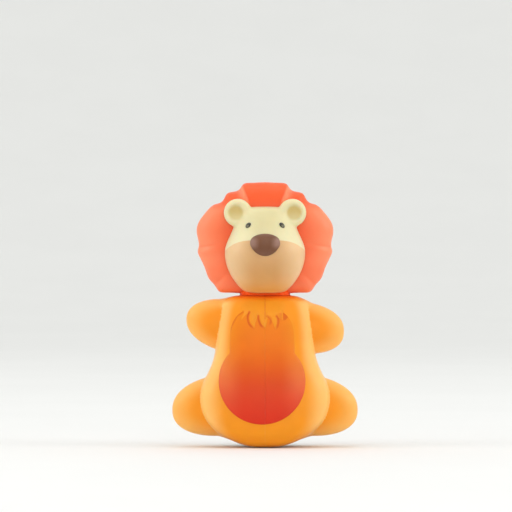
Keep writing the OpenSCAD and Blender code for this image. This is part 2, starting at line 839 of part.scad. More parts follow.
// The mane's outline, all the way round
function mane_outline() =
    let (
        half = [for (p = mane_rim) [p[0] * mane_w / 2, p[1] * mane_h / 2]],
        last = len(half) - 1
    )
    concat(
        [for (i = [last : -1 : 0]) half[i]],
        [for (i = [1 : last - 1]) [-half[i][0], half[i][1]]]
    );

// One section of the mane: its outline, drawn in towards a round hub
function mane_section(hub_r, spread, y) = [
    for (p = mane_outline())
        let (
            hub = hub_r * p / norm(p),
            q = hub + spread * (p - hub)
        )
        [q[0], -y, head_z + q[1]]
];

module mane() {
    top_z = head_z + mane_h / 2;
    screw_end_z = roof_z - shelf_t + head_screw_l + 3 * gap;
    back_depth = rim_y - head_split_y;
    front_depth = mane_front_y - rim_y;
    color(salmon) seated() resize([0, 0, top_z - body_h - gap]) difference() {
        union() {
            loft(concat(
                [for (a = mane_back_sections)
                    mane_section(head_back_d / 2 - gap, sin(a), rim_y - back_depth * cos(a))],
                [for (a = mane_front_sections)
                    mane_section(hub_d / 2, pow(sin(a), 0.8), rim_y + front_depth * cos(a))]
            ));
            intersection() {
                translate([0, -post_y, body_h + gap]) cylinder(d = collar_d, h = collar_h, $fn = 36);
                translate([-big / 2, -mane_front_y, 0]) cube(big);
            }
        }
        translate([0, -post_y, body_h - over])
            cylinder(d = post_d + 2 * gap, h = post_top_z - body_h + over + gap, $fn = 32);
        translate([0, -post_y, body_h])
            cylinder(d = head_screw_d + screw_fit, h = screw_end_z - body_h, $fn = 24);
    }
}

// The rounded back of the head, which closes the mane from behind
module head_back() {
    r = head_back_d / 2;
    rim = 0.11 * head_back_t;
    color(salmon) seated() translate([0, -head_split_y, head_z]) rotate([-90, 0, 0])
        rotate_extrude($fn = fine)
            polygon(concat(
                [[0, 0]],
                [for (a = [0 : 6 : 90]) [r * pow(cos(a), 0.8), rim + (head_back_t - rim) * sin(a)]]
            ));
}

// An ear: a round pad with a rounded rim and a shallow hollow in front
module ear() {
    r = ear_d / 2;
    rim = 0.15 * ear_d;
    rotate([90, 0, 0]) rotate_extrude($fn = 32) polygon(concat(
        [[0, 0], [r, 0]],
        [for (a = [0 : 30 : 90]) [r - rim + rim * cos(a), ear_t - rim + rim * sin(a)]],
        [
            [r - 1.5 * rim, ear_t - 0.35 * ear_dish],
            [r - 2 * rim, ear_t - 0.85 * ear_dish],
            [0, ear_t - ear_dish]
        ]
    ));
}

// The nose: a broad oval drawn down to a round tip, grown by a margin where a pocket is cut for it
module nose_form(margin) {
    top_h = 0.4 * nose_h;
    tip = 0.27 * nose_h;
    deep = nose_t / 2;
    hull() {
        translate([0, -nose_y, nose_z + nose_h / 2 - top_h])
            scale([nose_w / 2 + margin, deep + margin, top_h + margin]) sphere(1, $fn = 24);
        translate([0, -nose_y, nose_z - nose_h / 2 + tip])
            scale([tip + margin, deep + margin, tip + margin]) sphere(1, $fn = 16);
    }
}

// Distance from the wall to the face's surface at a height and a distance from the middle
function face_y(x, z) =
    let (
        at = (z - face_bottom_z) / face_h,
        half_w = face_w / 2 * share(face_rows, 1, at),
        deep = face_d * share(face_rows, 2, at)
    )
    face_back_y + deep * pow(1 - pow(abs(x) / half_w, face_fullness), 1 / face_fullness);

// An eye: a slanted bead, grown by a margin where a pocket is cut for it
module eye_form(side, margin) {
    r = eye_w / 2;
    x = side * eye_spacing / 2;
    translate([x, -face_y(x, eye_z) + 0.2 * r, eye_z]) rotate([0, side * 45, 0])
        hull()
            for (end = [-1, 1])
                translate([end * (eye_l - eye_w) / 2, 0, 0]) sphere(r = r + margin, $fn = 12);
}

module face() {
    top_z = ear_z + ear_d / 2;
    color(cream) seated() resize([0, 0, top_z - face_bottom_z]) difference() {
        union() {
            loft([
                for (row = face_rows)
                    [for (p = front_ring(face_w / 2 * row[1], face_d * row[2], face_fullness, face_steps))
                        [p[0], p[1] - face_back_y, face_bottom_z + face_h * row[0]]]
            ]);
            for (side = [-1, 1])
                translate([side * ear_spacing / 2, -face_back_y, ear_z]) ear();
        }
        nose_form(pocket_fit);
        eye_form(-1, pocket_fit);
        eye_form(1, pocket_fit);
    }
}

module nose() {
    color(brown) seated() nose_form(0);
}

module left_eye() {
    color(eye_grey) seated() eye_form(-1, 0);
}

module right_eye() {
    color(eye_grey) seated() eye_form(1, 0);
}

back_frame();
suction_cup();
left_hinge_pin();
right_hinge_pin();
left_liner();
right_liner();
left_shell();
right_shell();
left_shell_screws();
right_shell_screws();
head_screw();
mane();
head_back();
face();
nose();
left_eye();
right_eye();
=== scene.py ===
import math

import bmesh
import bpy
import numpy as np
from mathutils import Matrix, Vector


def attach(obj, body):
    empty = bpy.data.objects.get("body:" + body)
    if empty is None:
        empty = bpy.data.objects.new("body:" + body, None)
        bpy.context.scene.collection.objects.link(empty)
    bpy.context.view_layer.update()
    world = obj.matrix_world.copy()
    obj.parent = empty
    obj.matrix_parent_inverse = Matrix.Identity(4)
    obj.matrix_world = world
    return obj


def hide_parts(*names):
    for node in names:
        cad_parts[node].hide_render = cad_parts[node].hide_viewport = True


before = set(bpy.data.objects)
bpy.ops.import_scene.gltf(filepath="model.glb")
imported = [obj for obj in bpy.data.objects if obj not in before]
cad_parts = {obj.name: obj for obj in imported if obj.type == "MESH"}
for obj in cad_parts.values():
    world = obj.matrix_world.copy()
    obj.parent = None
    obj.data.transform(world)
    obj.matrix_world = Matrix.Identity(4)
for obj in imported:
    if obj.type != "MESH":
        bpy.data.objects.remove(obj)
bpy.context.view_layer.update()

# Sizes of the part in millimetres. Places are given as x, the distance d from the wall, and the
# height z over the body's lowest point.
MM = 0.001
# Height of the suction cup's middle, and the clearance round moving pieces
CUP_Z, GAP = 37.0, 0.3
# The body's height, the torso's width, depth and distance from the wall, and the shells' thickness
BODY_H, TORSO_W, TORSO_D, TORSO_GAP, SHELL_T = 60.5, 52.0, 32.5, 12.0, 1.8
# Half the gap between the two halves where they close
SEAM = 0.006
# How full the torso's outline is seen from above, in front and behind, and a limb's seen from its end
FRONT_FULL, BACK_FULL, LIMB_FULL = 3.5, 2.8, 2.15
# The joint of a limb with the torso: its fillet where it stands out crisply, and where it flows
CRISP, FLOWING = 0.3, 2.6
# Limbs: root and tip from the middle, height, thickness, height of the middle, rise to the tip, and
# how blunt the outline is above and below
LIMB_Y = 27.5
ARMS = {
    1: (11, 31.65, 21.2, 13.6, 47.9, -1.8, 2.4, 2.4),
    -1: (11, 31.5, 21.7, 13.6, 47.65, 3.1, 2.2, 2.2),
}
LEG = (14, 37.15, 24.8, 16, 16.9, -2.3, 2.3, 2.25)

# What the frame, the liners and the brush need clear of the shells: a radius round each hinge and a
# wider one for its turning shield, all that is behind the shelves' front, a radius round the neck post
# over the roof, and the oval mouth for the brush's neck
HINGE_X, HINGE_Y = 9.0, 16.0
LINER_Z, LINER_TOP, ROOF_Z = 8.3, 52.7, 56.0
HINGE_CLEAR, SHIELD_CLEAR, SHELF_CLEAR = 6.67, 8.27, 22.6
POST_Y, POST_CLEAR = 27.0, 5.4
MOUTH_Y, MOUTH_R, MOUTH_STRETCH = 25.2, 5.4, 1.2
# Bosses inside the shells: heights, inner end and radius, then the radius and end of their screw holes
BOSS_HEIGHTS = (LINER_Z + 8, LINER_TOP - 11)
BOSS_X, BOSS_R, SCREW_R, SCREW_TIP = 13.9, 2.8, 1.25, 19.0

# Patches on the front: a round one on the belly, a soft square one on the chest and what joins them
PATCH_X, BELLY_Z, BELLY_R = -1.2, 26.6, 17.1
CHEST_Z, CHEST_W, CHEST_H, CHEST_R, CHEST_FULL, WAIST_W = 42.5, 13.3, 13.7, 13.4, 2.6, 13.1
# How far a raised area dips under the surface beyond its rim, how wide that border is, and how thick
# its sheet is
PATCH_DIP, FUR_DIP, BORDER, SHEET_T = 0.18, 0.16, 0.55, 0.3

# The head's middle, the mane's back plane, front plane and fullest plane
HEAD_Z, SPLIT_Y, MANE_Y, RIM_Y = 83.5, 21.5, 34.8, 28.15
# The mane's half width and half height, and the radii of the flat middles of its front and back
MANE_W, MANE_H, MANE_HUB, BACK_HUB = 27.3, 22.3, 13.0, 20.2
# The dome behind the mane: radius, bulge and rounding of its edge
BACK_R, BACK_BULGE, BACK_EDGE = 20.5, 8.0, 0.6
# The collar's inner and outer radius, height, foot and flat front
COLLAR_IN, COLLAR_OUT, COLLAR_H, COLLAR_Z, COLLAR_FRONT = 5.2, 10.1, 2.1, 60.56, 34.7

# The face's foot, back plane, width, height, depth and fullness seen from above
FACE_Z, FACE_Y, FACE_W, FACE_H, FACE_D, FACE_FULL = 61.5, 34.95, 32.0, 34.4, 13.2, 2.3
# Ears: place, radius, half thickness and rounding, then the dish in front of each
EAR_X, EAR_Z, EAR_Y, EAR_R, EAR_T, EAR_ROUND = 10.85, 93.45, 0.9, 5.55, 3.7, 1.7
DISH_X, DISH_Z, DISH_Y, DISH_R, DISH_DEEP = 11.6, 93.4, 4.9, 3.35, 1.5
# Height of the line between cream and tan, at its middle
MUZZLE_Z = 82.5
# The nose's foot, top, half width, half depth, and the share of the face's depth that its middle is at
NOSE_Z, NOSE_TOP, NOSE_W, NOSE_D, NOSE_SET = 76.1, 85.1, 5.95, 2.55, 0.93
# Eyes: place, half length, half width, how far they stand out, and their slant in degrees
EYE_X, EYE_Z, EYE_LONG, EYE_SHORT, EYE_PROUD, EYE_SLANT = 6.7, 88.43, 1.3, 0.95, 0.62, 38

# Boxes that hold a body half, its hollow and the face, and the spacing of the points in each
HALF_BOX = (-1.2, 10.5, -1), (38.4, 46.2, 61.6)
HOLLOW_BOX = (-2.4, 12, 0.5), (37, 44.5, 60.5)
FACE_BOX = (-18.2, 33, 61), (18.2, 49.4, 100.4)
HALF_GRID, HOLLOW_GRID, FACE_GRID = ((0.45, 0.8, 0.36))

# Share of the torso's height, then of its half width, and of its depth at the front and the back
TORSO_ROWS = [
    (0.000, 0.173, 0.754, 0.554), (0.013, 0.327, 0.825, 0.338), (0.033, 0.462, 0.871, 0.200),
    (0.060, 0.600, 0.908, 0.108), (0.093, 0.727, 0.942, 0.055), (0.136, 0.835, 0.966, 0.025),
    (0.215, 0.954, 0.994, 0.000), (0.298, 1.000, 1.000, 0.000), (0.380, 0.985, 0.991, 0.000),
    (0.463, 0.908, 0.966, 0.000), (0.545, 0.820, 0.932, 0.000), (0.628, 0.770, 0.898, 0.000),
    (0.727, 0.748, 0.868, 0.000), (0.826, 0.727, 0.840, 0.000), (0.893, 0.696, 0.815, 0.012),
    (0.939, 0.655, 0.790, 0.043), (0.972, 0.575, 0.762, 0.098), (0.992, 0.485, 0.732, 0.169),
    (1.000, 0.396, 0.712, 0.231),
]
# Share of the face's height, then of its half width and of its depth
FACE_ROWS = [
    (0.000, 0.360, 0.300), (0.018, 0.500, 0.480), (0.062, 0.620, 0.660), (0.149, 0.775, 0.850),
    (0.259, 0.906, 0.960), (0.390, 0.988, 1.000), (0.477, 1.000, 0.985), (0.555, 0.969, 0.925),
    (0.660, 0.875, 0.790), (0.767, 0.775, 0.640), (0.855, 0.690, 0.540), (0.930, 0.600, 0.450),
    (0.980, 0.480, 0.340), (1.000, 0.365, 0.230),
]
# Half of the mane's outline from its top, as shares of its half width and half height
MANE_RIM = [
    (0.000, 1.000), (0.200, 0.990), (0.320, 0.962), (0.382, 0.865), (0.558, 0.792), (0.610, 0.685),
    (0.657, 0.632), (0.735, 0.602), (0.860, 0.473), (0.945, 0.340), (0.996, 0.205), (1.000, 0.075),
    (0.975, -0.172), (0.986, -0.225), (0.960, -0.340), (0.875, -0.570), (0.810, -0.755),
    (0.740, -0.850), (0.675, -0.960), (0.540, -0.985), (0.360, -0.995), (0.000, -1.000),
]


# Curves and fields

def spline(points, samples):
    """Points on a natural cubic spline through the given points, spaced by their chords."""
    p = np.array(points, float)
    u = np.concatenate([[0], np.cumsum(np.linalg.norm(np.diff(p, axis=0), axis=1))])
    h = np.diff(u)
    n = len(p)
    a = np.eye(n)
    b = np.zeros_like(p)
    for i in range(1, n - 1):
        a[i, i - 1:i + 2] = h[i - 1], 2 * (h[i - 1] + h[i]), h[i]
        b[i] = 6 * ((p[i + 1] - p[i]) / h[i] - (p[i] - p[i - 1]) / h[i - 1])
    m = np.linalg.solve(a, b)
    t = np.linspace(0, u[-1], samples)
    i = np.clip(np.searchsorted(u, t, side="right") - 1, 0, n - 2)
    r, s = ((t - u[i]) / h[i])[:, None], ((u[i + 1] - t) / h[i])[:, None]
    hh = (h[i] ** 2)[:, None] / 6
    return s * p[i] + r * p[i + 1] + hh * ((s ** 3 - s) * m[i] + (r ** 3 - r) * m[i + 1])


def smooth_rows(rows):
    """Fine columns of numbers from a coarse table whose first column always rises."""
    table = spline(rows, 600)
    table[:, 0] = np.maximum.accumulate(table[:, 0])
    return table.T


TORSO = smooth_rows(TORSO_ROWS)
FACE = smooth_rows(FACE_ROWS)


def union(a, b, k):
    """Joins two fields with a fillet of about k."""
    h = np.clip(0.5 + 0.5 * (b - a) / k, 0, 1)
    return b * (1 - h) + a * h - k * h * (1 - h)


def common(a, b, k):
    """Keeps what two fields share, with an edge rounded by about k."""
    return -union(-a, -b, k)


def step(low, high, value):
    """Rises smoothly from 0 to 1 between low and high, which may also run downwards."""
    t = np.clip((value - low) / (high - low), 0, 1)
    return t * t * (3 - 2 * t)


def torso_section(z, inset=0.0):
    """Half width, front and back of the torso at a height."""
    t = (z - inset) / (BODY_H - 2 * inset)
    half_w = TORSO_W / 2 * np.interp(t, TORSO[0], TORSO[1]) - inset
    front = TORSO_GAP + TORSO_D * np.interp(t, TORSO[0], TORSO[2]) - inset
    back = TORSO_GAP + TORSO_D * np.interp(t, TORSO[0], TORSO[3]) + inset
    return half_w, front, back


def torso_field(x, d, z, inset=0.0):
    """Roughly the distance to the torso's surface, negative inside."""
    half_w, front, back = torso_section(z, inset)
    half_d = np.maximum((front - back) / 2, 0.5)
    along = (d - (front + back) / 2) / half_d
    p = BACK_FULL + (FRONT_FULL - BACK_FULL) * step(-0.1, 0.5, along)
    f = (np.abs(x / half_w) ** p + np.abs(along) ** p) ** (1 / p)
    side = (f - 1) * np.minimum(half_w, half_d)
    return common(common(side, inset - z, 1.2), z - (BODY_H - inset), 1.1)


def limb_field(x, d, z, limb, inset=0.0):
    """Roughly the distance to a limb's surface, negative inside."""
    root, tip, height, thick, middle, rise, above, below = limb
    reach = tip - root - inset
    out = (x - root) / reach
    up = (z - middle - rise * out) / (height / 2 - inset)
    p = below + (above - below) * step(-0.6, 0.6, up)
    deep = (d - LIMB_Y) / (thick / 2 - inset)
    across = (np.abs(deep) ** LIMB_FULL + np.abs(up) ** LIMB_FULL) ** (1 / LIMB_FULL)
    return ((across ** p + np.abs(out) ** p) ** (1 / p) - 1) * (thick / 2 - inset)


def body_field(side, inset=0.0, fillet=None):
    """The torso stands out crisply before the limbs, which flow into it at the top and underneath."""
    def field(x, d, z):
        limbs = np.minimum(limb_field(x, d, z, ARMS[side], inset), limb_field(x, d, z, LEG, inset))
        k = fillet or CRISP + FLOWING * step(54, 59, z) + FLOWING * step(7, 3, z)
        return union(torso_field(x, d, z, inset), limbs, k)
    return field


def front_of(x, z):
    """Distance from the wall to the torso's front surface."""
    half_w, front, back = torso_section(z)
    share = np.clip(1 - np.abs(x / half_w) ** FRONT_FULL, 0, 1) ** (1 / FRONT_FULL)
    return (front + back) / 2 + (front - back) / 2 * share


# Meshes

def gradient(field, p, e=0.02):
    """How a field rises along each axis at some points."""
    return np.stack([(field(*(p + k).T) - field(*(p - k).T)) / (2 * e) for k in np.eye(3) * e], 1)


def skin(field, low, high, size):
    """Quads over the surface where a field is zero, each corner then moved onto the surface."""
    low = np.array(low, float)
    axes = [np.arange(a, b + size, size) for a, b in zip(low, high)]
    x, d, z = np.meshgrid(*axes, indexing="ij", sparse=True)
    values = np.array(np.broadcast_to(field(x, d, z), [len(a) for a in axes]))
    for axis in range(3):
        for end in (0, -1):
            face = [slice(None)] * 3
            face[axis] = end
            values[tuple(face)] = np.maximum(values[tuple(face)], size)
    inside = values < 0
    nx, nd, nz = [n - 1 for n in inside.shape]
    count = sum(
        inside[i:nx + i, j:nd + j, k:nz + k].astype(np.int8)
        for i in (0, 1) for j in (0, 1) for k in (0, 1))
    live = (count > 0) & (count < 8)
    number = np.full(live.shape, -1)
    cells = np.argwhere(live)
    number[tuple(cells.T)] = np.arange(len(cells))
    point, hits = np.zeros((len(cells), 3)), np.zeros(len(cells))
    for axis in range(3):
        one, two = [k for k in range(3) if k != axis]
        for p in (0, 1):
            for q in (0, 1):
                start = np.zeros(3, int)
                start[one], start[two] = p, q
                end = start.copy()
                end[axis] = 1
                v0, v1 = values[tuple((cells + start).T)], values[tuple((cells + end).T)]
                hit = (v0 < 0) != (v1 < 0)
                t = np.where(hit, v0 / np.where(hit, v0 - v1, 1), 0)
                point += hit[:, None] * (cells + start + t[:, None] * (end - start))
                hits += hit
    point = low + size * point / hits[:, None]
    near = np.abs(field(*point.T)) < 0.5 * size
    moved = point[near]
    for _ in range(3):
        g = gradient(field, moved)
        go = -(field(*moved.T) / np.maximum((g ** 2).sum(1), 0.05))[:, None] * g
        length = np.linalg.norm(go, axis=1)[:, None]
        moved = moved + go * np.minimum(1, 0.4 * size / np.maximum(length, 1e-9))
    point[near] = moved
    quads = []
    for axis in range(3):
        one, two = (axis + 1) % 3, (axis + 2) % 3
        a = np.take(inside, range(inside.shape[axis] - 1), axis)
        b = np.take(inside, range(1, inside.shape[axis]), axis)
        edge = np.argwhere(a != b)
        flip = a[tuple(edge.T)]
        back_one, back_two = np.zeros(3, int), np.zeros(3, int)
        back_one[one], back_two[two] = 1, 1
        ring = [edge, edge - back_one, edge - back_one - back_two, edge - back_two]
        corner = np.stack([number[tuple(c.T)] for c in ring], 1)
        corner = np.where(flip[:, None], corner, corner[:, ::-1])
        quads.append(corner)
    return point, np.concatenate(quads)


def to_world(points, side=1):
    """Points in part millimetres, drawn on one side, as metres in the row frame."""
    p = np.array(points, float)
    return np.stack([side * p[:, 0], -p[:, 1], p[:, 2] - CUP_Z], 1) * MM


def new_object(name, points, faces):
    """A mesh object from points in metres."""
    mesh = bpy.data.meshes.new(name)
    mesh.from_pydata(points.tolist(), [], faces)
    mesh.update()
    thing = bpy.data.objects.new(name, mesh)
    bpy.context.scene.collection.objects.link(thing)
    return thing


def add_mesh(name, points, faces, side=1):
    """A smooth mesh object from points in part millimetres, with faces wound outwards for that space."""
    faces = np.array(faces)
    if side > 0:
        faces = faces[:, ::-1]
    thing = new_object(name, to_world(points, side), faces.tolist())
    thing.data.polygons.foreach_set("use_smooth", np.ones(len(thing.data.polygons), bool))
    return thing


def grid_faces(rows, columns, closed=True):
    """Quads between rows of points, where each row closes into a ring or stays open."""
    across = columns if closed else columns - 1
    i, j = np.meshgrid(np.arange(rows - 1), np.arange(across), indexing="ij")
    one, two = i * columns + j, i * columns + (j + 1) % columns
    return np.stack([one, two, two + columns, one + columns], -1).reshape(-1, 4)


def tidy_mesh(thing):
    """Merges doubled corners, fills open ends and turns all faces outwards."""
    work = bmesh.new()
    work.from_mesh(thing.data)
    bmesh.ops.remove_doubles(work, verts=work.verts, dist=1e-7)
    bmesh.ops.holes_fill(work, edges=[edge for edge in work.edges if edge.is_boundary], sides=0)
    bmesh.ops.recalc_face_normals(work, faces=work.faces)
    work.to_mesh(thing.data)
    work.free()
    return thing


def carve(thing, tools, operation):
    """Cuts tools from a closed mesh, or adds them to it, and keeps the result as its mesh."""
    for tool in tools:
        cut = thing.modifiers.new("cut", "BOOLEAN")
        cut.operation = operation
        cut.object = tool
        cut.solver = "MANIFOLD"
    bpy.context.view_layer.update()
    result = bpy.data.meshes.new_from_object(thing.evaluated_get(bpy.context.evaluated_depsgraph_get()))
    thing.modifiers.clear()
    thing.data = result
    for tool in tools:
        bpy.data.objects.remove(tool)
    return thing


def crisp(thing, angle=32):
    """Smooth shading that breaks at real edges."""
    thing.data.polygons.foreach_set("use_smooth", np.ones(len(thing.data.polygons), bool))
    thing.data.set_sharp_from_angle(angle=math.radians(angle))
    return thing


def prism(name, outline, low, high, side=1, axis="z"):
    """A closed bar over an outline: along z over (x, d) points, or along x over (d, z) points."""
    n = len(outline)
    if axis == "z":
        ends = [(x, d, h) for h in (low, high) for x, d in outline]
    else:
        ends = [(h, d, z) for h in (low, high) for d, z in outline]
    faces = [list(range(n)), list(range(2 * n - 1, n - 1, -1))]
    faces += [[i + n, (i + 1) % n + n, (i + 1) % n, i] for i in range(n)]
    return tidy_mesh(new_object(name, to_world(ends, side), faces))


def part_points(thing, side=1):
    """A mesh's corners in part millimetres, with x on the drawn side."""
    place = np.empty(3 * len(thing.data.vertices))
    thing.data.vertices.foreach_get("co", place)
    x, y, z = place.reshape(-1, 3).T / MM
    return side * x, -y, z + CUP_Z


def paint(thing, name, values):
    """Stores a number at each corner, for a material to read."""
    layer = thing.data.attributes.new(name, "FLOAT", "POINT")
    layer.data.foreach_set("value", np.ascontiguousarray(values, np.float32))


def circle(cx, cy, r, n=96):
    """Points round a circle."""
    a = np.arange(n) * 2 * math.pi / n
    return list(zip(cx + r * np.cos(a), cy + r * np.sin(a)))


def rectangle(x0, y0, x1, y1):
    return [(x0, y0), (x1, y0), (x1, y1), (x0, y1)]


# Body halves

def body_half(name, side):
    """One door's moulding: the hollow outer form, its screw bosses, and what the frame needs clear."""
    shell = add_mesh(name, *skin(body_field(side), *HALF_BOX, HALF_GRID), side)
    hollow = skin(body_field(side, SHELL_T, 1.5), *HOLLOW_BOX, HOLLOW_GRID)
    carve(shell, [add_mesh("hollow", *hollow, side)], "DIFFERENCE")
    limit = skin(body_field(side, SHELL_T / 2, 1.0), *HOLLOW_BOX, HOLLOW_GRID)
    bosses = [prism("boss", circle(LIMB_Y, z, BOSS_R, 48), BOSS_X, 40, side, "x") for z in BOSS_HEIGHTS]
    for boss in bosses:
        carve(boss, [add_mesh("limit", *limit, side)], "INTERSECT")
    carve(shell, bosses, "UNION")
    mouth = [(x, d + math.copysign(MOUTH_STRETCH, d - MOUTH_Y)) for x, d in circle(0, MOUTH_Y, MOUTH_R)]
    cuts = [
        prism("other_half", rectangle(-60, -20, SEAM, 80), -20, 90, side),
        prism("hinge", circle(HINGE_X, HINGE_Y, HINGE_CLEAR), -1, 62, side),
        prism("shelves", rectangle(-1, -30, 10, SHELF_CLEAR), -1, 62, side),
        prism("shield", circle(HINGE_X, HINGE_Y, SHIELD_CLEAR), LINER_Z - GAP, LINER_TOP + GAP, side),
        prism("post", circle(0, POST_Y, POST_CLEAR), ROOF_Z, 70, side),
        prism("post_slot", rectangle(-1, -30, POST_CLEAR, POST_Y), ROOF_Z, 70, side),
        prism("mouth", mouth, -1, LINER_Z - 1, side),
    ]
    for z in BOSS_HEIGHTS:
        cuts.append(prism("screw_hole", circle(LIMB_Y, z, SCREW_R, 32), 12, SCREW_TIP, side, "x"))
    for cut in cuts:
        carve(shell, [cut], "DIFFERENCE")
    tidy_mesh(shell)
    tone_body(shell, side)
    return crisp(shell)


def tone_body(thing, side):
    """Paints light and shade into the moulding's colour: a painted sheen, paler along the torso's sides and
    round the limbs' rims for side light and glow at thin edges, and painted shade in the seam on the chest.
    """
    x, d, z = part_points(thing, side)
    trunk = torso_field(x, d, z)
    share = np.abs(x) / np.maximum(torso_section(z)[0], 1)
    # The painted sheen starts nearer the middle beside the belly, and on the viewer's right
    start = (0.67 if side < 0 else 0.645) - 0.09 * np.exp(-((z - 19) / 10) ** 2)
    band = step(start, 0.97, share) * step(1, 12, z) * step(60, 57, z)
    tones, fields = [band], [trunk]
    # Painted sheen round the rims of the limbs
    for limb in (ARMS[side], LEG):
        root, tip, height, thick, middle, rise = limb[:6]
        out = (x - root) / (tip - root)
        up = (z - middle - rise * out) / (height / 2)
        tones.append(0.8 * step(0.55, 1.06, np.hypot(out, up)))
        fields.append(limb_field(x, d, z, limb))
    pick = np.argmin(fields, axis=0)
    paint(thing, "painted_sheen", np.choose(pick, tones))
    # Painted shade in the seam between the halves, on the chest only
    paint(thing, "dark_lines_and_shade", 0.5 * step(0.5, 0.02, np.abs(x)) * step(50.5, 51.5, z))


def polygon_distance(x, z, corners):
    """Signed distance to a polygon, negative inside."""
    c = np.array(corners, float)
    best = np.full(x.shape, 1e9)
    inside = np.zeros(x.shape, bool)
    for (x0, z0), (x1, z1) in zip(c, np.roll(c, -1, axis=0)):
        ex, ez = x1 - x0, z1 - z0
        t = np.clip(((x - x0) * ex + (z - z0) * ez) / (ex * ex + ez * ez), 0, 1)
        best = np.minimum(best, np.hypot(x - x0 - t * ex, z - z0 - t * ez))
        if z0 != z1:
            inside ^= ((z0 > z) != (z1 > z)) & (x < x0 + (z - z0) * ex / ez)
    return np.where(inside, -best, best)


# Locks of fur on the chest: their tips, the notches between them, and how much each side bows
TIPS = [(-9.3, 50.7), (-4.1, 47.5), (0.2, 47.6), (4.1, 47.0), (7.3, 50.7)]
NOTCHES = [(-8.6, 53.9), (-6.2, 53.7), (-2.8, 52.2), (1.2, 52.1), (4.6, 52.3), (7.2, 55.0)]
BOWS = [(0.7, -0.3), (1.6, -0.3), (0.6, 0.0), (-0.4, 1.0), (0.2, 0.0)]


def bowed(a, b, by):
    """Points from a towards b along a line that bows sideways."""
    a, b = np.array(a), np.array(b)
    side = np.array([b[1] - a[1], a[0] - b[0]]) / np.linalg.norm(b - a)
    return [tuple(a + t * (b - a) + 4 * by * t * (1 - t) * side) for t in np.arange(0, 1, 0.125)]


def fur_outline():
    """The fur's outline, down and up each lock from the left and back over the top."""
    edge = []
    for i, tip in enumerate(TIPS):
        edge += bowed(NOTCHES[i], tip, BOWS[i][0]) + bowed(tip, NOTCHES[i + 1], BOWS[i][1])
    return edge + [NOTCHES[-1], (10.2, 56.2), (10.2, 60), (-11.4, 60), (-11.4, 56.2)]


FUR = fur_outline()
# Dark lines along the edges of the locks: strength, half width and the points of each
STROKES = [
    (0.55, 0.30, [(-8.75, 54.1), (-9.67, 53.3), (-11.1, 52.4), (-12.06, 50.7), (-12.8, 49.4), (-13.5, 47.8),
                  (-13.9, 45.6)]),
    (0.95, 0.36, [(-6.27, 53.8), (-6.73, 52.4), (-6.73, 50.9), (-6.36, 49.6), (-5.6, 48.5),
                  (-4.5, 47.6)]),
    (0.95, 0.34, [(-2.68, 52.3), (-2.5, 50.9), (-2.1, 49.6), (-1.6, 48.6), (-0.5, 47.8)]),
    (0.65, 0.36, [(0.9, 52.2), (2.0, 51.5), (2.3, 50.2), (1.7, 48.8)]),
    (0.90, 0.34, [(4.6, 52.2), (5.1, 51.3), (5.2, 50.0), (4.95, 48.7), (4.2, 47.3)]),
    (0.45, 0.45, [(6.2, 53.0), (6.3, 50.9)]),
]
# Painted shade in the notch beside the last lock
SHADED_NOTCH = [(7.15, 54.8), (8.4, 53.6), (9.1, 51.8), (8.0, 50.7), (7.2, 50.7)]


def stroke_strength(x, z):
    """How dark a place is from the lines along the locks and the painted shade in the notch."""
    best = 0.75 * step(0.25, -0.2, polygon_distance(x, z, SHADED_NOTCH))
    for strength, half, points in STROKES:
        line = spline(points, 40)
        away = np.hypot(x[:, None] - line[:, 0], z[:, None] - line[:, 1])
        reach, along = away.min(axis=1), away.argmin(axis=1) / (len(line) - 1)
        best = np.maximum(best, strength * step(half * 2.2, half * 0.4, reach) * step(1.12, 0.75, along))
    return best


def patch_distance(x, z):
    """Distance to the rim of the joined patches, negative inside."""
    across = x - PATCH_X
    belly = np.hypot(across, z - BELLY_Z) - BELLY_R
    full = np.abs(across / CHEST_W) ** CHEST_FULL + np.abs((z - CHEST_Z) / CHEST_H) ** CHEST_FULL
    chest = full ** (1 / CHEST_FULL) * CHEST_R - CHEST_R
    waist = np.maximum(np.abs(across) - WAIST_W, np.maximum(z - CHEST_Z, BELLY_Z - z))
    return np.minimum(np.minimum(belly, chest), waist)


def patch_height(x, z):
    """The patches stand out most on the belly, and rise more gently on the chest."""
    s = -patch_distance(x, z)
    low = 1 - step(30, 44, z)
    rise = 0.10 + 0.26 * low
    return -PATCH_DIP + (PATCH_DIP + rise) * step(-0.45, 0.35 + 0.8 * (1 - low), s)


def fur_distance(x, z):
    return polygon_distance(x, z, FUR)


def fur_height(x, z):
    """The fur is thickest in its locks, and fades out above them and at its sides."""
    s = -fur_distance(x, z)
    rise = 0.16 + 0.34 * step(0, 1.4, s)
    fade = step(52.8, 58.2, z)
    flank = step(6.5, 9.8, np.abs(x + 0.6)) * step(50, 53, z)
    rise = rise * (1 - fade) * (1 - 1.3 * flank)
    # Fine strands run down each lock
    strands = 0.05 * np.sin(x * 4.6 + 0.5 * np.sin(z * 0.9))
    rise = rise + strands * step(0.2, 1.0, s) * step(54.5, 51.5, z)
    return -FUR_DIP + (FUR_DIP + rise) * step(-0.22, 0.12, s) - 0.03 * fade


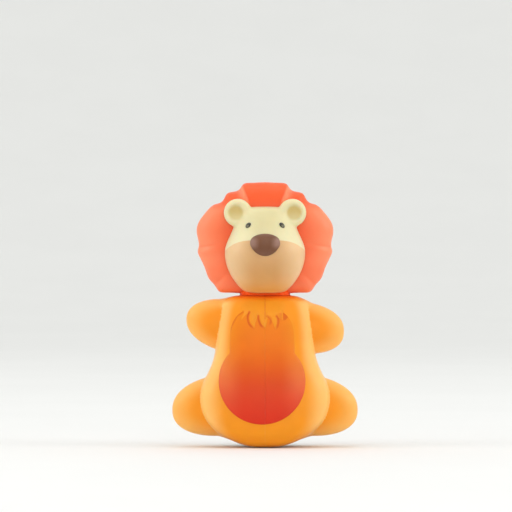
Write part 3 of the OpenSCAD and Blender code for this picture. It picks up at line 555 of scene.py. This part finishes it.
def relief(name, side, height, distance, reach, low, high, size):
    """A raised area of the torso's front: a thin closed sheet that dips under the surface at its rim."""
    xs = np.concatenate([[SEAM], np.arange(SEAM + size / 2, reach + size, size)])
    zs = np.arange(low, high + size, size)
    x, z = [a.ravel() for a in np.meshgrid(xs, zs, indexing="ij")]
    e = 0.02
    d = front_of(x, z)
    n = np.stack([-(front_of(x + e, z) - front_of(x - e, z)) / (2 * e), np.ones_like(x),
                  -(front_of(x, z + e) - front_of(x, z - e)) / (2 * e)], 1)
    n /= np.linalg.norm(n, axis=1)[:, None]
    points = np.stack([x, d, z], 1) + n * height(side * x, z)[:, None]
    faces = grid_faces(len(xs), len(zs), closed=False)[:, ::-1]
    faces = faces[(distance(side * x, z) < BORDER)[faces].all(1)]
    used = np.unique(faces)
    number = np.full(len(points), -1)
    number[used] = np.arange(len(used))
    faces, count = number[faces], len(used)
    # A back layer within the wall and a rim all round close the sheet
    edges = np.stack([faces, np.roll(faces, -1, axis=1)], -1).reshape(-1, 2)
    twin = set(map(tuple, edges[:, ::-1].tolist()))
    a, b = np.array([edge for edge in edges.tolist() if tuple(edge) not in twin]).T
    rim = np.stack([b, a, a + count, b + count], 1)
    points = np.concatenate([points[used], points[used] - SHEET_T * n[used]])
    sheet = add_mesh(name, points, np.concatenate([faces, faces[:, ::-1] + count, rim]), side)
    px, pz = side * np.tile(x[used], 2), np.tile(z[used], 2)
    # Dark lines along the locks, painted shade in the notch beside the last lock, and painted shade in the
    # seam on the chest
    dark = np.where((pz > 45) & (pz < 55.5), stroke_strength(px, pz), 0)
    paint(sheet, "dark_lines_and_shade", np.maximum(dark, 0.5 * step(0.42, 0.1, np.abs(px)) * step(50.5, 51.5, pz)))
    return sheet


# Head

def rim_points(samples):
    """The mane's outline as a smooth closed line of (x, z) from the head's middle."""
    half = [(a * MANE_W, b * MANE_H) for a, b in MANE_RIM]
    ring = half + [(-a, b) for a, b in half[-2:0:-1]]
    n = len(ring)
    p = np.array(ring * 3, float)
    q = spline(p, samples * 3 * 4)
    start = len(q) // 3
    q = q[start:2 * start]
    angle = np.unwrap(np.arctan2(q[:, 0], q[:, 1]))
    order = np.argsort(angle)
    want = np.linspace(angle[order][0], angle[order][0] + 2 * math.pi, samples, endpoint=False)
    radius = np.interp(want, angle[order], np.hypot(q[:, 0], q[:, 1])[order], period=2 * math.pi)
    return np.stack([radius * np.sin(want), radius * np.cos(want)], 1), want


# Creases that run out to the mane's rim: their places there, as in its outline, and depths
CREASES = [(10.4, 19.1, 0.9), (17.3, 14.0, 0.7), (26.3, -3.9, 0.8), (20.2, -19.0, 0.4)]


def gap_along(angle, x, z, sign):
    """Distance round the rim from a crease on one side, growing away from the top."""
    return np.angle(np.exp(1j * sign * (angle - math.atan2(sign * x, z)))) * math.hypot(x, z)


def mane():
    """The mane, as rows of points from its back over its rim to its front."""
    samples = 480
    rim, angle = rim_points(samples)
    rim_r = np.linalg.norm(rim, axis=1)
    unit = rim / rim_r[:, None]
    crease, crease_light_and_shade = np.zeros(samples), np.zeros(samples)
    for i, (x, z, depth) in enumerate(CREASES):
        for sign in (1, -1):
            gap = gap_along(angle, x, z, sign)
            crease += depth * np.exp(-(gap / 1.5) ** 2)
            if i > 1:
                # Painted highlight and shade: the lower side of each side crease is painted paler, as if it
                # caught the light, and its upper side darker
                crease_light_and_shade += 0.3 * depth * np.exp(-((gap - 0.9) / 0.8) ** 2)
                crease_light_and_shade -= 0.25 * depth * np.exp(-((gap + 0.4) / 0.5) ** 2)
    rows, tones = [], []

    def section(hub_r, turn, spread, d, front):
        x, z = (hub_r * unit + spread * (rim - hub_r * unit)).T
        share = np.hypot(x, z) / rim_r
        # Painted sheen: paler towards the rim, for light reflected and glowing at the rounded rim, less so
        # on the top lobe and at the bottom
        tone = step(0.36, 1.05, share) * (1 - 0.85 * step(10, 15, z)) * (1 - 0.3 * step(-8, -14, z))
        if front:
            w = max(math.sin(2 * turn), 0) ** 0.8
            # The top lobe is sunk between two ridges that run down to the ears
            beside = np.abs(x) - (6.0 + (z - 13.5) * 0.37)
            ridge = step(-0.3, 0.9, beside) * step(4.8, 0.9, beside) * step(11.5, 15, z)
            lobe = 0.95 * ridge - 0.35 * step(0.5, -0.5, beside) * step(11.5, 15, z)
            out = d - w * crease * (0.25 + 0.75 * math.sin(turn) ** 3) + w * lobe
            # The ridges are painted paler as highlights, and the crease highlights and shade are added near
            # the rim
            tone = tone + 0.8 * ridge + crease_light_and_shade * step(0.7, 0.9, share)
        else:
            out = d + 0.7 * crease * math.sin(2 * turn)
        rows.append(np.stack([x, out, z + HEAD_Z], 1))
        tones.append(np.clip(tone, 0, 1))

    for turn in np.radians(np.linspace(0, 84, 15)):
        section(BACK_HUB, turn, math.sin(turn), RIM_Y - (RIM_Y - SPLIT_Y) * math.cos(turn), False)
    for turn in np.radians(np.linspace(90, 0, 20)):
        section(MANE_HUB, turn, math.sin(turn) ** 0.8, RIM_Y + (MANE_Y - RIM_Y) * math.cos(turn), True)
    # A smaller copy of the last and the first row narrows each end
    for end, share in ((-1, 0.55), (0, 0.6)):
        inner = rows[end].copy()
        inner[:, 0] *= share
        inner[:, 2] = HEAD_Z + (inner[:, 2] - HEAD_Z) * share
        rows.insert(len(rows) if end else 0, inner)
        tones.insert(len(tones) if end else 0, tones[end])
    form = add_mesh("mane_form", np.concatenate(rows), grid_faces(len(rows), samples)[:, ::-1])
    # The painted sheen and highlights are stored for the salmon material
    paint(form, "painted_sheen", np.concatenate(tones))
    return form


def turned(name, profile, place, axis, steps=128):
    """A smooth turned piece: profile is (radius, along) points, turned about an axis at a place."""
    p = np.array(profile, float)
    a = np.arange(steps) * 2 * math.pi / steps
    r, along = p[:, :1], p[:, 1:]
    one, two = r * np.cos(a), r * np.sin(a)
    flat = np.broadcast_to(along, one.shape)
    if axis == "z":
        xyz = np.stack([one, two, flat], -1)
        faces = grid_faces(len(p), steps)
    else:
        xyz = np.stack([one, flat, two], -1)
        faces = grid_faces(len(p), steps)[:, ::-1]
    return add_mesh(name, xyz.reshape(-1, 3) + np.array(place), faces)


def rounded(points, r, n=5):
    """Rounds the inner corners of an open profile."""
    p = [np.array(q, float) for q in points]
    out = [p[0]]
    for a, b, c in zip(p, p[1:], p[2:]):
        ua, uc = (a - b) / np.linalg.norm(a - b), (c - b) / np.linalg.norm(c - b)
        cut = min(r, 0.45 * np.linalg.norm(a - b), 0.45 * np.linalg.norm(c - b))
        for t in np.linspace(0, 1, n):
            out.append((1 - t) ** 2 * (b + ua * cut) + 2 * t * (1 - t) * b + t * t * (b + uc * cut))
    return out + [p[-1]]


def neck_collar():
    """A short ring under the head, cut flat in front."""
    ring = [(COLLAR_IN, 0), (COLLAR_OUT, 0), (COLLAR_OUT, COLLAR_H), (COLLAR_IN, COLLAR_H)]
    ring = rounded(ring + ring[:2], 0.12)[1:-1]
    thing = tidy_mesh(turned("neck_collar", ring + ring[:1], (0, POST_Y, COLLAR_Z), "z"))
    for corner in thing.data.vertices:
        corner.co.y = max(corner.co.y, -COLLAR_FRONT * MM)
    return thing


def head_back():
    """A shallow dome behind the mane, with a rounded edge."""
    edge = BACK_R - BACK_EDGE
    profile = [(0.01, -0.2), (edge, -0.2)]
    for t in np.linspace(0.2, math.pi / 2, 5):
        profile.append((edge + BACK_EDGE * math.sin(t), 0.4 - BACK_EDGE * math.cos(t)))
    for t in np.linspace(0, math.pi / 2, 40):
        profile.append((max(BACK_R * math.cos(t) ** 0.8, 0.01), 1 + BACK_BULGE * math.sin(t)))
    profile = [(radius, -along) for radius, along in profile]
    return turned("head_back_form", profile, (0, SPLIT_Y, HEAD_Z), "y")


def face_section(z):
    """Half width and depth of the face at a height."""
    t = (z - FACE_Z) / FACE_H
    return FACE_W / 2 * np.interp(t, FACE[0], FACE[1]), FACE_D * np.interp(t, FACE[0], FACE[2])


def face_field(x, d, z):
    """Roughly the distance to the surface of the face and its ears, negative inside."""
    half_w, deep = face_section(z)
    f = (np.abs(x / half_w) ** FACE_FULL + np.abs((d - FACE_Y) / deep) ** FACE_FULL) ** (1 / FACE_FULL)
    head = (f - 1) * np.minimum(half_w, deep)
    head = common(common(head, FACE_Z - z, 1.4), z - FACE_Z - FACE_H, 1.6)
    # Each ear is a round pad with a full rim, hollowed in front
    r = np.hypot(np.abs(x) - EAR_X, z - EAR_Z) - EAR_R + EAR_ROUND
    q = np.abs(d - FACE_Y - EAR_Y) - EAR_T + EAR_ROUND
    ear = np.hypot(np.maximum(r, 0), np.maximum(q, 0)) + np.minimum(np.maximum(r, q), 0) - EAR_ROUND
    whole = union(head, ear, 1.1)
    r = np.hypot(np.abs(x) - DISH_X, z - DISH_Z) / DISH_R
    dish = (r ** 3 + np.abs((d - FACE_Y - DISH_Y) / DISH_DEEP) ** 3) ** (1 / 3) - 1
    return common(whole, -dish * DISH_DEEP, 0.7)


def face():
    """The face with its ears, flat behind."""
    form = add_mesh("face_form", *skin(face_field, *FACE_BOX, FACE_GRID))
    carve(form, [prism("behind", rectangle(-30, 0, 30, FACE_Y), 40, 120)], "DIFFERENCE")
    return crisp(form, 40)


def face_front(x, z):
    """Distance from the wall to the front of the face."""
    half_w, deep = face_section(z)
    return FACE_Y + deep * (1 - abs(x / half_w) ** FACE_FULL) ** (1 / FACE_FULL)


# Share of the nose's height, then of its half width
NOSE_ROWS = [
    (0.0, 0.0), (0.03, 0.31), (0.08, 0.48), (0.15, 0.63), (0.245, 0.76), (0.335, 0.86),
    (0.49, 0.985), (0.60, 1.0), (0.76, 0.93), (0.89, 0.705), (0.96, 0.45), (1.0, 0.0),
]


def nose():
    """A soft rounded triangle, fullest just above its middle."""
    a = np.arange(96) * 2 * math.pi / 96
    c, s = np.cos(a), np.sin(a)
    rows = []
    for t, w in spline(NOSE_ROWS, 90):
        w = max(w, 0.002)
        x = NOSE_W * w * np.sign(c) * np.abs(c) ** 0.95
        d = FACE_Y + NOSE_SET * FACE_D + NOSE_D * w ** 0.62 * s
        rows.append(np.stack([x, d, np.full(len(a), NOSE_Z + (NOSE_TOP - NOSE_Z) * t)], 1))
    return add_mesh("nose_form", np.concatenate(rows), grid_faces(len(rows), len(a)))


def eye(name, side):
    """A slanted glossy bead, set into the face."""
    x, z, e = side * EYE_X, EYE_Z, 0.3
    n = np.array([-(face_front(x + e, z) - face_front(x - e, z)) / (2 * e), 1,
                  -(face_front(x, z + e) - face_front(x, z - e)) / (2 * e)])
    n /= np.linalg.norm(n)
    slant = math.radians(EYE_SLANT)
    long_way = np.array([-side * math.sin(slant), 0, math.cos(slant)])
    long_way -= n * long_way.dot(n)
    long_way /= np.linalg.norm(long_way)
    short_way = np.cross(n, long_way)
    middle = np.array([x, face_front(x, z), z])
    v = np.arange(48) * 2 * math.pi / 48
    rows = []
    for u in np.linspace(0, math.pi, 25):
        along = np.outer(np.cos(v) * math.sin(u) * EYE_LONG, long_way)
        across = np.outer(np.sin(v) * math.sin(u) * EYE_SHORT, short_way)
        rows.append(middle + along + across + EYE_PROUD * math.cos(u) * n)
    return add_mesh(name, np.concatenate(rows), grid_faces(len(rows), len(v)))


# Materials

def srgb(code):
    """A linear colour from a screen colour."""
    channels = [int(code[i:i + 2], 16) / 255 for i in (0, 2, 4)]
    return tuple([c / 12.92 if c <= 0.04045 else ((c + 0.055) / 1.055) ** 2.4 for c in channels] + [1.0])


class Finish:
    """A procedural material, built from nodes that read the part's own coordinates."""

    def __init__(self, name):
        self.material = bpy.data.materials.new(name)
        self.material.use_nodes = True
        self.tree = self.material.node_tree
        self.shader = self.tree.nodes["Principled BSDF"]
        coordinates = self.tree.nodes.new("ShaderNodeTexCoord").outputs["Object"]
        self.place = self.vector("MULTIPLY", coordinates, (1000, 1000, 1000))
        split = self.tree.nodes.new("ShaderNodeSeparateXYZ")
        self.tree.links.new(self.place, split.inputs[0])
        self.x, self.y, self.z = split.outputs

    def plug(self, socket, value):
        """Links a node's output to a socket, or sets it to a number, a vector or a screen colour."""
        if isinstance(value, bpy.types.NodeSocket):
            self.tree.links.new(value, socket)
        else:
            socket.default_value = srgb(value) if isinstance(value, str) else value

    def vector(self, operation, a, b):
        node = self.tree.nodes.new("ShaderNodeVectorMath")
        node.operation = operation
        self.plug(node.inputs[0], a)
        self.plug(node.inputs[1], b)
        return node.outputs[0]

    def math(self, operation, a, b=0.0, clamp=False):
        node = self.tree.nodes.new("ShaderNodeMath")
        node.operation = operation
        node.use_clamp = clamp
        self.plug(node.inputs[0], a)
        self.plug(node.inputs[1], b)
        return node.outputs[0]

    def plus(self, a, b):
        return self.math("ADD", a, b)

    def minus(self, a, b):
        return self.math("SUBTRACT", a, b)

    def times(self, a, b):
        return self.math("MULTIPLY", a, b)

    def size_of(self, value):
        return self.math("ABSOLUTE", value)

    def distance(self, a, b):
        return self.math("SQRT", self.plus(self.times(a, a), self.times(b, b)))

    def between(self, value, low, high, to_low=0.0, to_high=1.0):
        """A smooth step from low to high, which may also run downwards."""
        node = self.tree.nodes.new("ShaderNodeMapRange")
        node.interpolation_type = "SMOOTHSTEP"
        for i, v in enumerate((value, low, high, to_low, to_high)):
            self.plug(node.inputs[i], v)
        return node.outputs[0]

    def mix(self, share, a, b, kind="MIX"):
        node = self.tree.nodes.new("ShaderNodeMix")
        node.data_type = "RGBA"
        node.blend_type = kind
        self.plug(node.inputs[0], share)
        self.plug(node.inputs[6], a)
        self.plug(node.inputs[7], b)
        return node.outputs[2]

    def attribute(self, name):
        node = self.tree.nodes.new("ShaderNodeAttribute")
        node.attribute_name = name
        return node.outputs["Fac"]

    def noise(self, scale, detail=2.0, rough=0.5):
        node = self.tree.nodes.new("ShaderNodeTexNoise")
        self.plug(node.inputs["Vector"], self.place)
        node.inputs["Scale"].default_value = scale
        node.inputs["Detail"].default_value = detail
        node.inputs["Roughness"].default_value = rough
        return node.outputs["Fac"]

    def blended(self, value, stops):
        """A colour that passes through (value, colour) stops."""
        node = self.tree.nodes.new("ShaderNodeValToRGB")
        low, high = stops[0][0], stops[-1][0]
        self.plug(node.inputs[0], self.math("DIVIDE", self.minus(value, low), high - low, clamp=True))
        ramp = node.color_ramp
        ramp.interpolation = "B_SPLINE"
        while len(ramp.elements) < len(stops):
            ramp.elements.new(0.5)
        for element, (at, colour) in zip(ramp.elements, stops):
            element.position = (at - low) / (high - low)
            element.color = srgb(colour)
        return node.outputs[0]

    def clouded(self, colour, amount=0.05, scale=0.12):
        """Slow unevenness in the colour of a moulding."""
        light = self.between(self.noise(scale, 3), 0.3, 0.7, 1 - amount, 1 + amount * 0.6)
        tint = self.tree.nodes.new("ShaderNodeCombineXYZ")
        for i in range(3):
            self.plug(tint.inputs[i], light)
        return self.mix(1.0, colour, tint.outputs[0], "MULTIPLY")

    def surface(self, rough, spread=0.06, bump=0.012, grain=2.2):
        """Fine moulded texture: uneven gloss and a faint grain."""
        self.plug(self.shader.inputs["Roughness"],
                  self.between(self.noise(0.45, 4), 0.3, 0.7, rough - spread, rough + spread))
        node = self.tree.nodes.new("ShaderNodeBump")
        node.inputs["Strength"].default_value = 0.35
        node.inputs["Distance"].default_value = bump * MM
        self.plug(node.inputs["Height"], self.noise(grain, 5, 0.62))
        self.plug(self.shader.inputs["Normal"], node.outputs[0])

    def set(self, **values):
        """Sets or links the shader's own sockets by their names."""
        for name, value in values.items():
            self.plug(self.shader.inputs[name.replace("_", " ")], value)


def soft_plastic(finish, depth=1.2):
    """Light sinks a little way into the moulding and glows at thin edges."""
    finish.set(Subsurface_Weight=0.25, Subsurface_Scale=depth * MM, Subsurface_Radius=(1.0, 0.45, 0.2),
               IOR=1.48)


def orange_finish():
    f = Finish("orange_moulding")
    deep = f.blended(f.z, [(-37, "F29A12"), (-24, "F29616"), (0, "F19218"), (14, "F69418"),
                           (20, "FC9A1C"), (24, "FF9A20")])
    # Painted sheen: paler bands on the torso's sides and the limbs' rims
    colour = f.mix(f.attribute("painted_sheen"), deep, "FDC26C")
    # Painted shade: the top between the shoulders is painted redder and darker, for the head's shadow and
    # the red light thrown from the neck
    tint = f.times(f.between(f.size_of(f.x), 14, 9.5), f.between(f.z, 21.2, 23.4))
    colour = f.mix(f.times(tint, 0.85), colour, "FF6A1A")
    # Painted shade in the seam on the chest and in the notch beside the last lock, and dark lines along the
    # locks
    colour = f.mix(f.attribute("dark_lines_and_shade"), colour, "E66608")
    f.surface(0.36)
    soft_plastic(f)
    f.set(Base_Color=f.clouded(colour, 0.03), Sheen_Weight=0.05, Sheen_Roughness=0.35, Sheen_Tint="FFE2A8",
          Coat_Weight=0.03, Coat_Roughness=0.2, Specular_IOR_Level=0.25)
    return f.material


def tummy_finish():
    f = Finish("tummy_panel")
    middle = f.blended(f.z, [(-30, "D92E14"), (-22, "DB3314"), (-12, "D64208"), (-5, "DE5A08"),
                             (2, "EC7106"), (9, "EF7806"), (18, "F4890A")])
    edge = f.blended(f.z, [(-30, "DC361A"), (-18, "E44E2C"), (-11, "E66C3C"), (-3, "E87A30"),
                           (5, "F48B18"), (18, "F79514")])
    out = f.between(f.size_of(f.minus(f.x, PATCH_X)), 6.5, 16)
    # Painted shade in the seam on the chest and in the notch beside the last lock, and dark lines along the
    # locks
    colour = f.mix(f.attribute("dark_lines_and_shade"), f.mix(out, middle, edge), "DC5A06")
    f.surface(0.38)
    soft_plastic(f)
    f.set(Base_Color=f.clouded(colour, 0.03), Coat_Weight=0.03, Coat_Roughness=0.25,
          Specular_IOR_Level=0.22)
    return f.material


def salmon_finish():
    f = Finish("salmon_moulding")
    # Painted sheen and highlights: paler at the rim, on the ridges and below the creases
    colour = f.mix(f.attribute("painted_sheen"), "F2561C", "FB8F66")
    f.surface(0.4, bump=0.02, grain=1.6)
    soft_plastic(f, 2.0)
    f.set(Base_Color=f.clouded(colour, 0.025, 0.16), Sheen_Weight=0.1, Sheen_Roughness=0.4,
          Sheen_Tint="FFC0B0", Coat_Weight=0.05, Coat_Roughness=0.3, Specular_IOR_Level=0.3)
    return f.material


def neck_finish():
    f = Finish("neck_moulding")
    f.surface(0.5)
    soft_plastic(f, 2.0)
    f.set(Base_Color=f.clouded("FF5C12", 0.05, 0.2), Specular_IOR_Level=0.15)
    return f.material


def face_finish():
    f = Finish("face_moulding")
    up = f.plus(f.z, CUP_Z)
    aside = f.size_of(f.x)
    cream = f.blended(up, [(80, "E6DDB3"), (86, "E4DAAD"), (90, "E0D6A7"), (98, "E6DBAC")])
    # Painted shade: the middle of the face above the muzzle is darker
    middle = f.times(f.between(aside, 9, 2), f.between(up, 82, 88))
    cream = f.mix(f.times(middle, 0.7), cream, "D8CC99")
    # Painted shade and light: the muzzle is darker across its middle under the nose, paler at its foot for
    # light thrown back from below, and paler towards its sides where the side light falls
    tan = f.blended(up, [(61, "DE9E48"), (65, "D79950"), (71, "C99457"), (77, "D0A069"), (83, "DBB07D")])
    tan = f.mix(f.times(f.between(aside, 3, 15), 0.7), tan, "EFCB9A")
    # The muzzle's upper edge falls away to the sides
    fall = f.times(f.math("POWER", f.math("DIVIDE", aside, 15.2), 4.0), 3.5)
    muzzle = f.between(f.minus(f.minus(MUZZLE_Z, fall), up), -0.08, 0.08)
    colour = f.mix(muzzle, cream, tan)
    # The hollows of the ears are painted darker and warmer, most of all at their top: partly their own
    # tone, partly painted shade under the rims
    above = f.minus(up, DISH_Z)
    away = f.distance(f.minus(aside, DISH_X), above)
    depth = f.plus(0.55, f.times(f.between(above, -2.6, 1.2), 0.45))
    colour = f.mix(f.times(f.between(away, 3.6, 2.1), depth), colour, "D2B870")
    f.surface(0.42)
    soft_plastic(f, 1.6)
    f.set(Base_Color=f.clouded(colour, 0.03), Sheen_Weight=0.1, Sheen_Roughness=0.45, Coat_Weight=0.05,
          Coat_Roughness=0.35)
    return f.material


def nose_finish():
    f = Finish("nose_moulding")
    up = f.plus(f.z, CUP_Z)
    # Painted shading: the nose is lighter at its top and foot, and darker across its middle
    colour = f.blended(up, [(76, "724A34"), (79, "673812"), (82, "6D3D18"), (85, "774D35")])
    # Paler where the rounded flanks catch the light
    beside = f.between(f.size_of(f.x), 1.8, 4.7)
    flank = f.times(beside, f.between(f.size_of(f.minus(up, 81.4)), 3, 0.6))
    colour = f.mix(f.times(flank, 0.7), colour, "9A7668")
    f.surface(0.42, bump=0.015, grain=3)
    f.set(Base_Color=f.clouded(colour, 0.06, 0.3), Sheen_Weight=0.05, Sheen_Roughness=0.4, Coat_Weight=0.12,
          Coat_Roughness=0.3, IOR=1.48)
    return f.material


def eye_finish():
    f = Finish("eye_bead")
    # Painted highlight: a lighter spot low on the outer side, within a dark rim
    away = f.distance(f.minus(f.size_of(f.x), EYE_X + 0.28), f.plus(f.z, CUP_Z - EYE_Z + 0.28))
    colour = f.mix(f.between(away, 0.1, 0.85), "777255", "2F2C22")
    f.surface(0.2, 0.03, 0.004, 4)
    f.set(Base_Color=f.clouded(colour, 0.12, 0.8), Coat_Weight=0.3, Coat_Roughness=0.1, IOR=1.5)
    return f.material


def white_finish():
    f = Finish("white_moulding")
    f.surface(0.42, bump=0.02, grain=3)
    f.set(Base_Color=f.clouded("E8E7E3", 0.02), Subsurface_Weight=0.15, Subsurface_Scale=0.8 * MM, IOR=1.49)
    return f.material


def vinyl_finish():
    f = Finish("cup_vinyl")
    f.surface(0.14, 0.04, 0.01, 1.0)
    f.set(Base_Color=f.clouded("DDE9EC", 0.04, 0.2), Transmission_Weight=0.72, IOR=1.42, Coat_Weight=0.2,
          Coat_Roughness=0.08)
    return f.material


def steel_finish():
    f = Finish("pin_steel")
    f.surface(0.28, 0.08, 0.01, 5)
    f.set(Base_Color=f.clouded("C4C6C8", 0.05, 0.6), Metallic=1.0, Anisotropic=0.3)
    return f.material


def finish_with(thing, material):
    """Gives a whole piece one material."""
    if not thing.material_slots:
        thing.data.materials.append(material)
    for slot in thing.material_slots:
        slot.material = material
    return thing


# The part

orange, tummy, salmon = orange_finish(), tummy_finish(), salmon_finish()
cream, brown, bead = face_finish(), nose_finish(), eye_finish()
white, vinyl, steel = white_finish(), vinyl_finish(), steel_finish()

for side, word in ((1, "right"), (-1, "left")):
    body = word + "_door"
    shell = finish_with(body_half(word + "_body_half", side), orange)
    panel = relief(word + "_tummy_panel", side, patch_height, patch_distance, 18.6, 9, 56.4, 0.22)
    finish_with(panel, tummy)
    fur = relief(word + "_chest_fur", side, fur_height, fur_distance, 11.6, 46.2, 58.6, 0.12)
    finish_with(fur, orange)
    for piece in (shell, panel, fur):
        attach(piece, body)
    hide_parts(word + "_shell")

mane_form = finish_with(tidy_mesh(mane()), salmon)
collar = finish_with(neck_collar(), neck_finish())
dome = finish_with(tidy_mesh(head_back()), salmon)
face_form = finish_with(face(), cream)
nose_form = finish_with(tidy_mesh(nose()), brown)
eyes = {}
for side, word in ((1, "right"), (-1, "left")):
    eyes[word] = finish_with(tidy_mesh(eye(word + "_eye_bead", side)), bead)

for piece, node, slot in (
        (mane_form, "mane", "salmon_plastic"), (dome, "head_back", "salmon_plastic"),
        (face_form, "face", "cream_plastic"), (nose_form, "nose", "brown_plastic"),
        (eyes["left"], "left_eye", "eye_plastic"), (eyes["right"], "right_eye", "eye_plastic")):
    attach(piece, "frame")
    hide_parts(node)
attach(collar, "frame")

for node, material in (
        ("back_frame", white), ("left_liner", white), ("right_liner", white), ("suction_cup", vinyl),
        ("left_hinge_pin", steel), ("right_hinge_pin", steel), ("left_shell_screws", steel),
        ("right_shell_screws", steel), ("head_screw", steel)):
    finish_with(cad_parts[node], material)


# Floor, light and camera

# The floor curves up into a pale wall all round
FLOOR_R, WALL_R = 1800, 3200
sweep = [(0.01, 0), (400, 0), (FLOOR_R, 0)]
for t in np.linspace(0.04, math.pi / 2, 40):
    sweep.append((FLOOR_R + WALL_R * math.sin(t), WALL_R * (1 - math.cos(t))))
backdrop = turned("backdrop", sweep, (0, 0, -0.2), "z")
paper = Finish("backdrop_paper")
paper.set(Base_Color=paper.clouded("F0F0EF", 0.008, 0.01), Roughness=0.85)
finish_with(backdrop, paper.material)

world = bpy.data.worlds.new("studio")
world.use_nodes = True
world.node_tree.nodes["Background"].inputs[0].default_value = srgb("F2F3F1")
world.node_tree.nodes["Background"].inputs[1].default_value = 1.0
bpy.context.scene.world = world

# Soft boxes: place, size and power
LAMPS = {
    "left_box": ((-1.9, -0.6, 0.95), (1.1, 1.1), 9.0),
    "right_box": ((1.9, -0.6, 0.95), (1.1, 1.1), 9.9),
    "top_box": ((0.0, -0.4, 2.0), (1.6, 1.2), 5.6),
    "front_box": ((0.2, -2.3, 0.4), (1.6, 1.0), 5.6),
}
target = Vector((0, -0.03, 0.012))
for name, (place, size, power) in LAMPS.items():
    light = bpy.data.lights.new(name, "AREA")
    light.shape = "RECTANGLE"
    light.size, light.size_y = size
    light.energy = power
    lamp = bpy.data.objects.new(name, light)
    lamp.location = place
    lamp.rotation_euler = (target - Vector(place)).to_track_quat("-Z", "Y").to_euler()
    bpy.context.scene.collection.objects.link(lamp)

# The photograph's width in metres at the figure, and the camera's distance from it
FRAME_WIDTH, REACH = 0.2048, 1.6
SENSOR = 36
camera_data = bpy.data.cameras.new("camera")
camera_data.sensor_width = SENSOR
camera_data.lens = SENSOR * REACH / FRAME_WIDTH
camera_data.clip_end = 200
camera = bpy.data.objects.new("camera", camera_data)
camera.location = (-0.0036, -0.030 - REACH, 0.03924)
camera.rotation_euler = (math.pi / 2, 0, 0)
bpy.context.scene.collection.objects.link(camera)
bpy.context.scene.camera = camera
bpy.context.scene.view_settings.view_transform = "Standard"
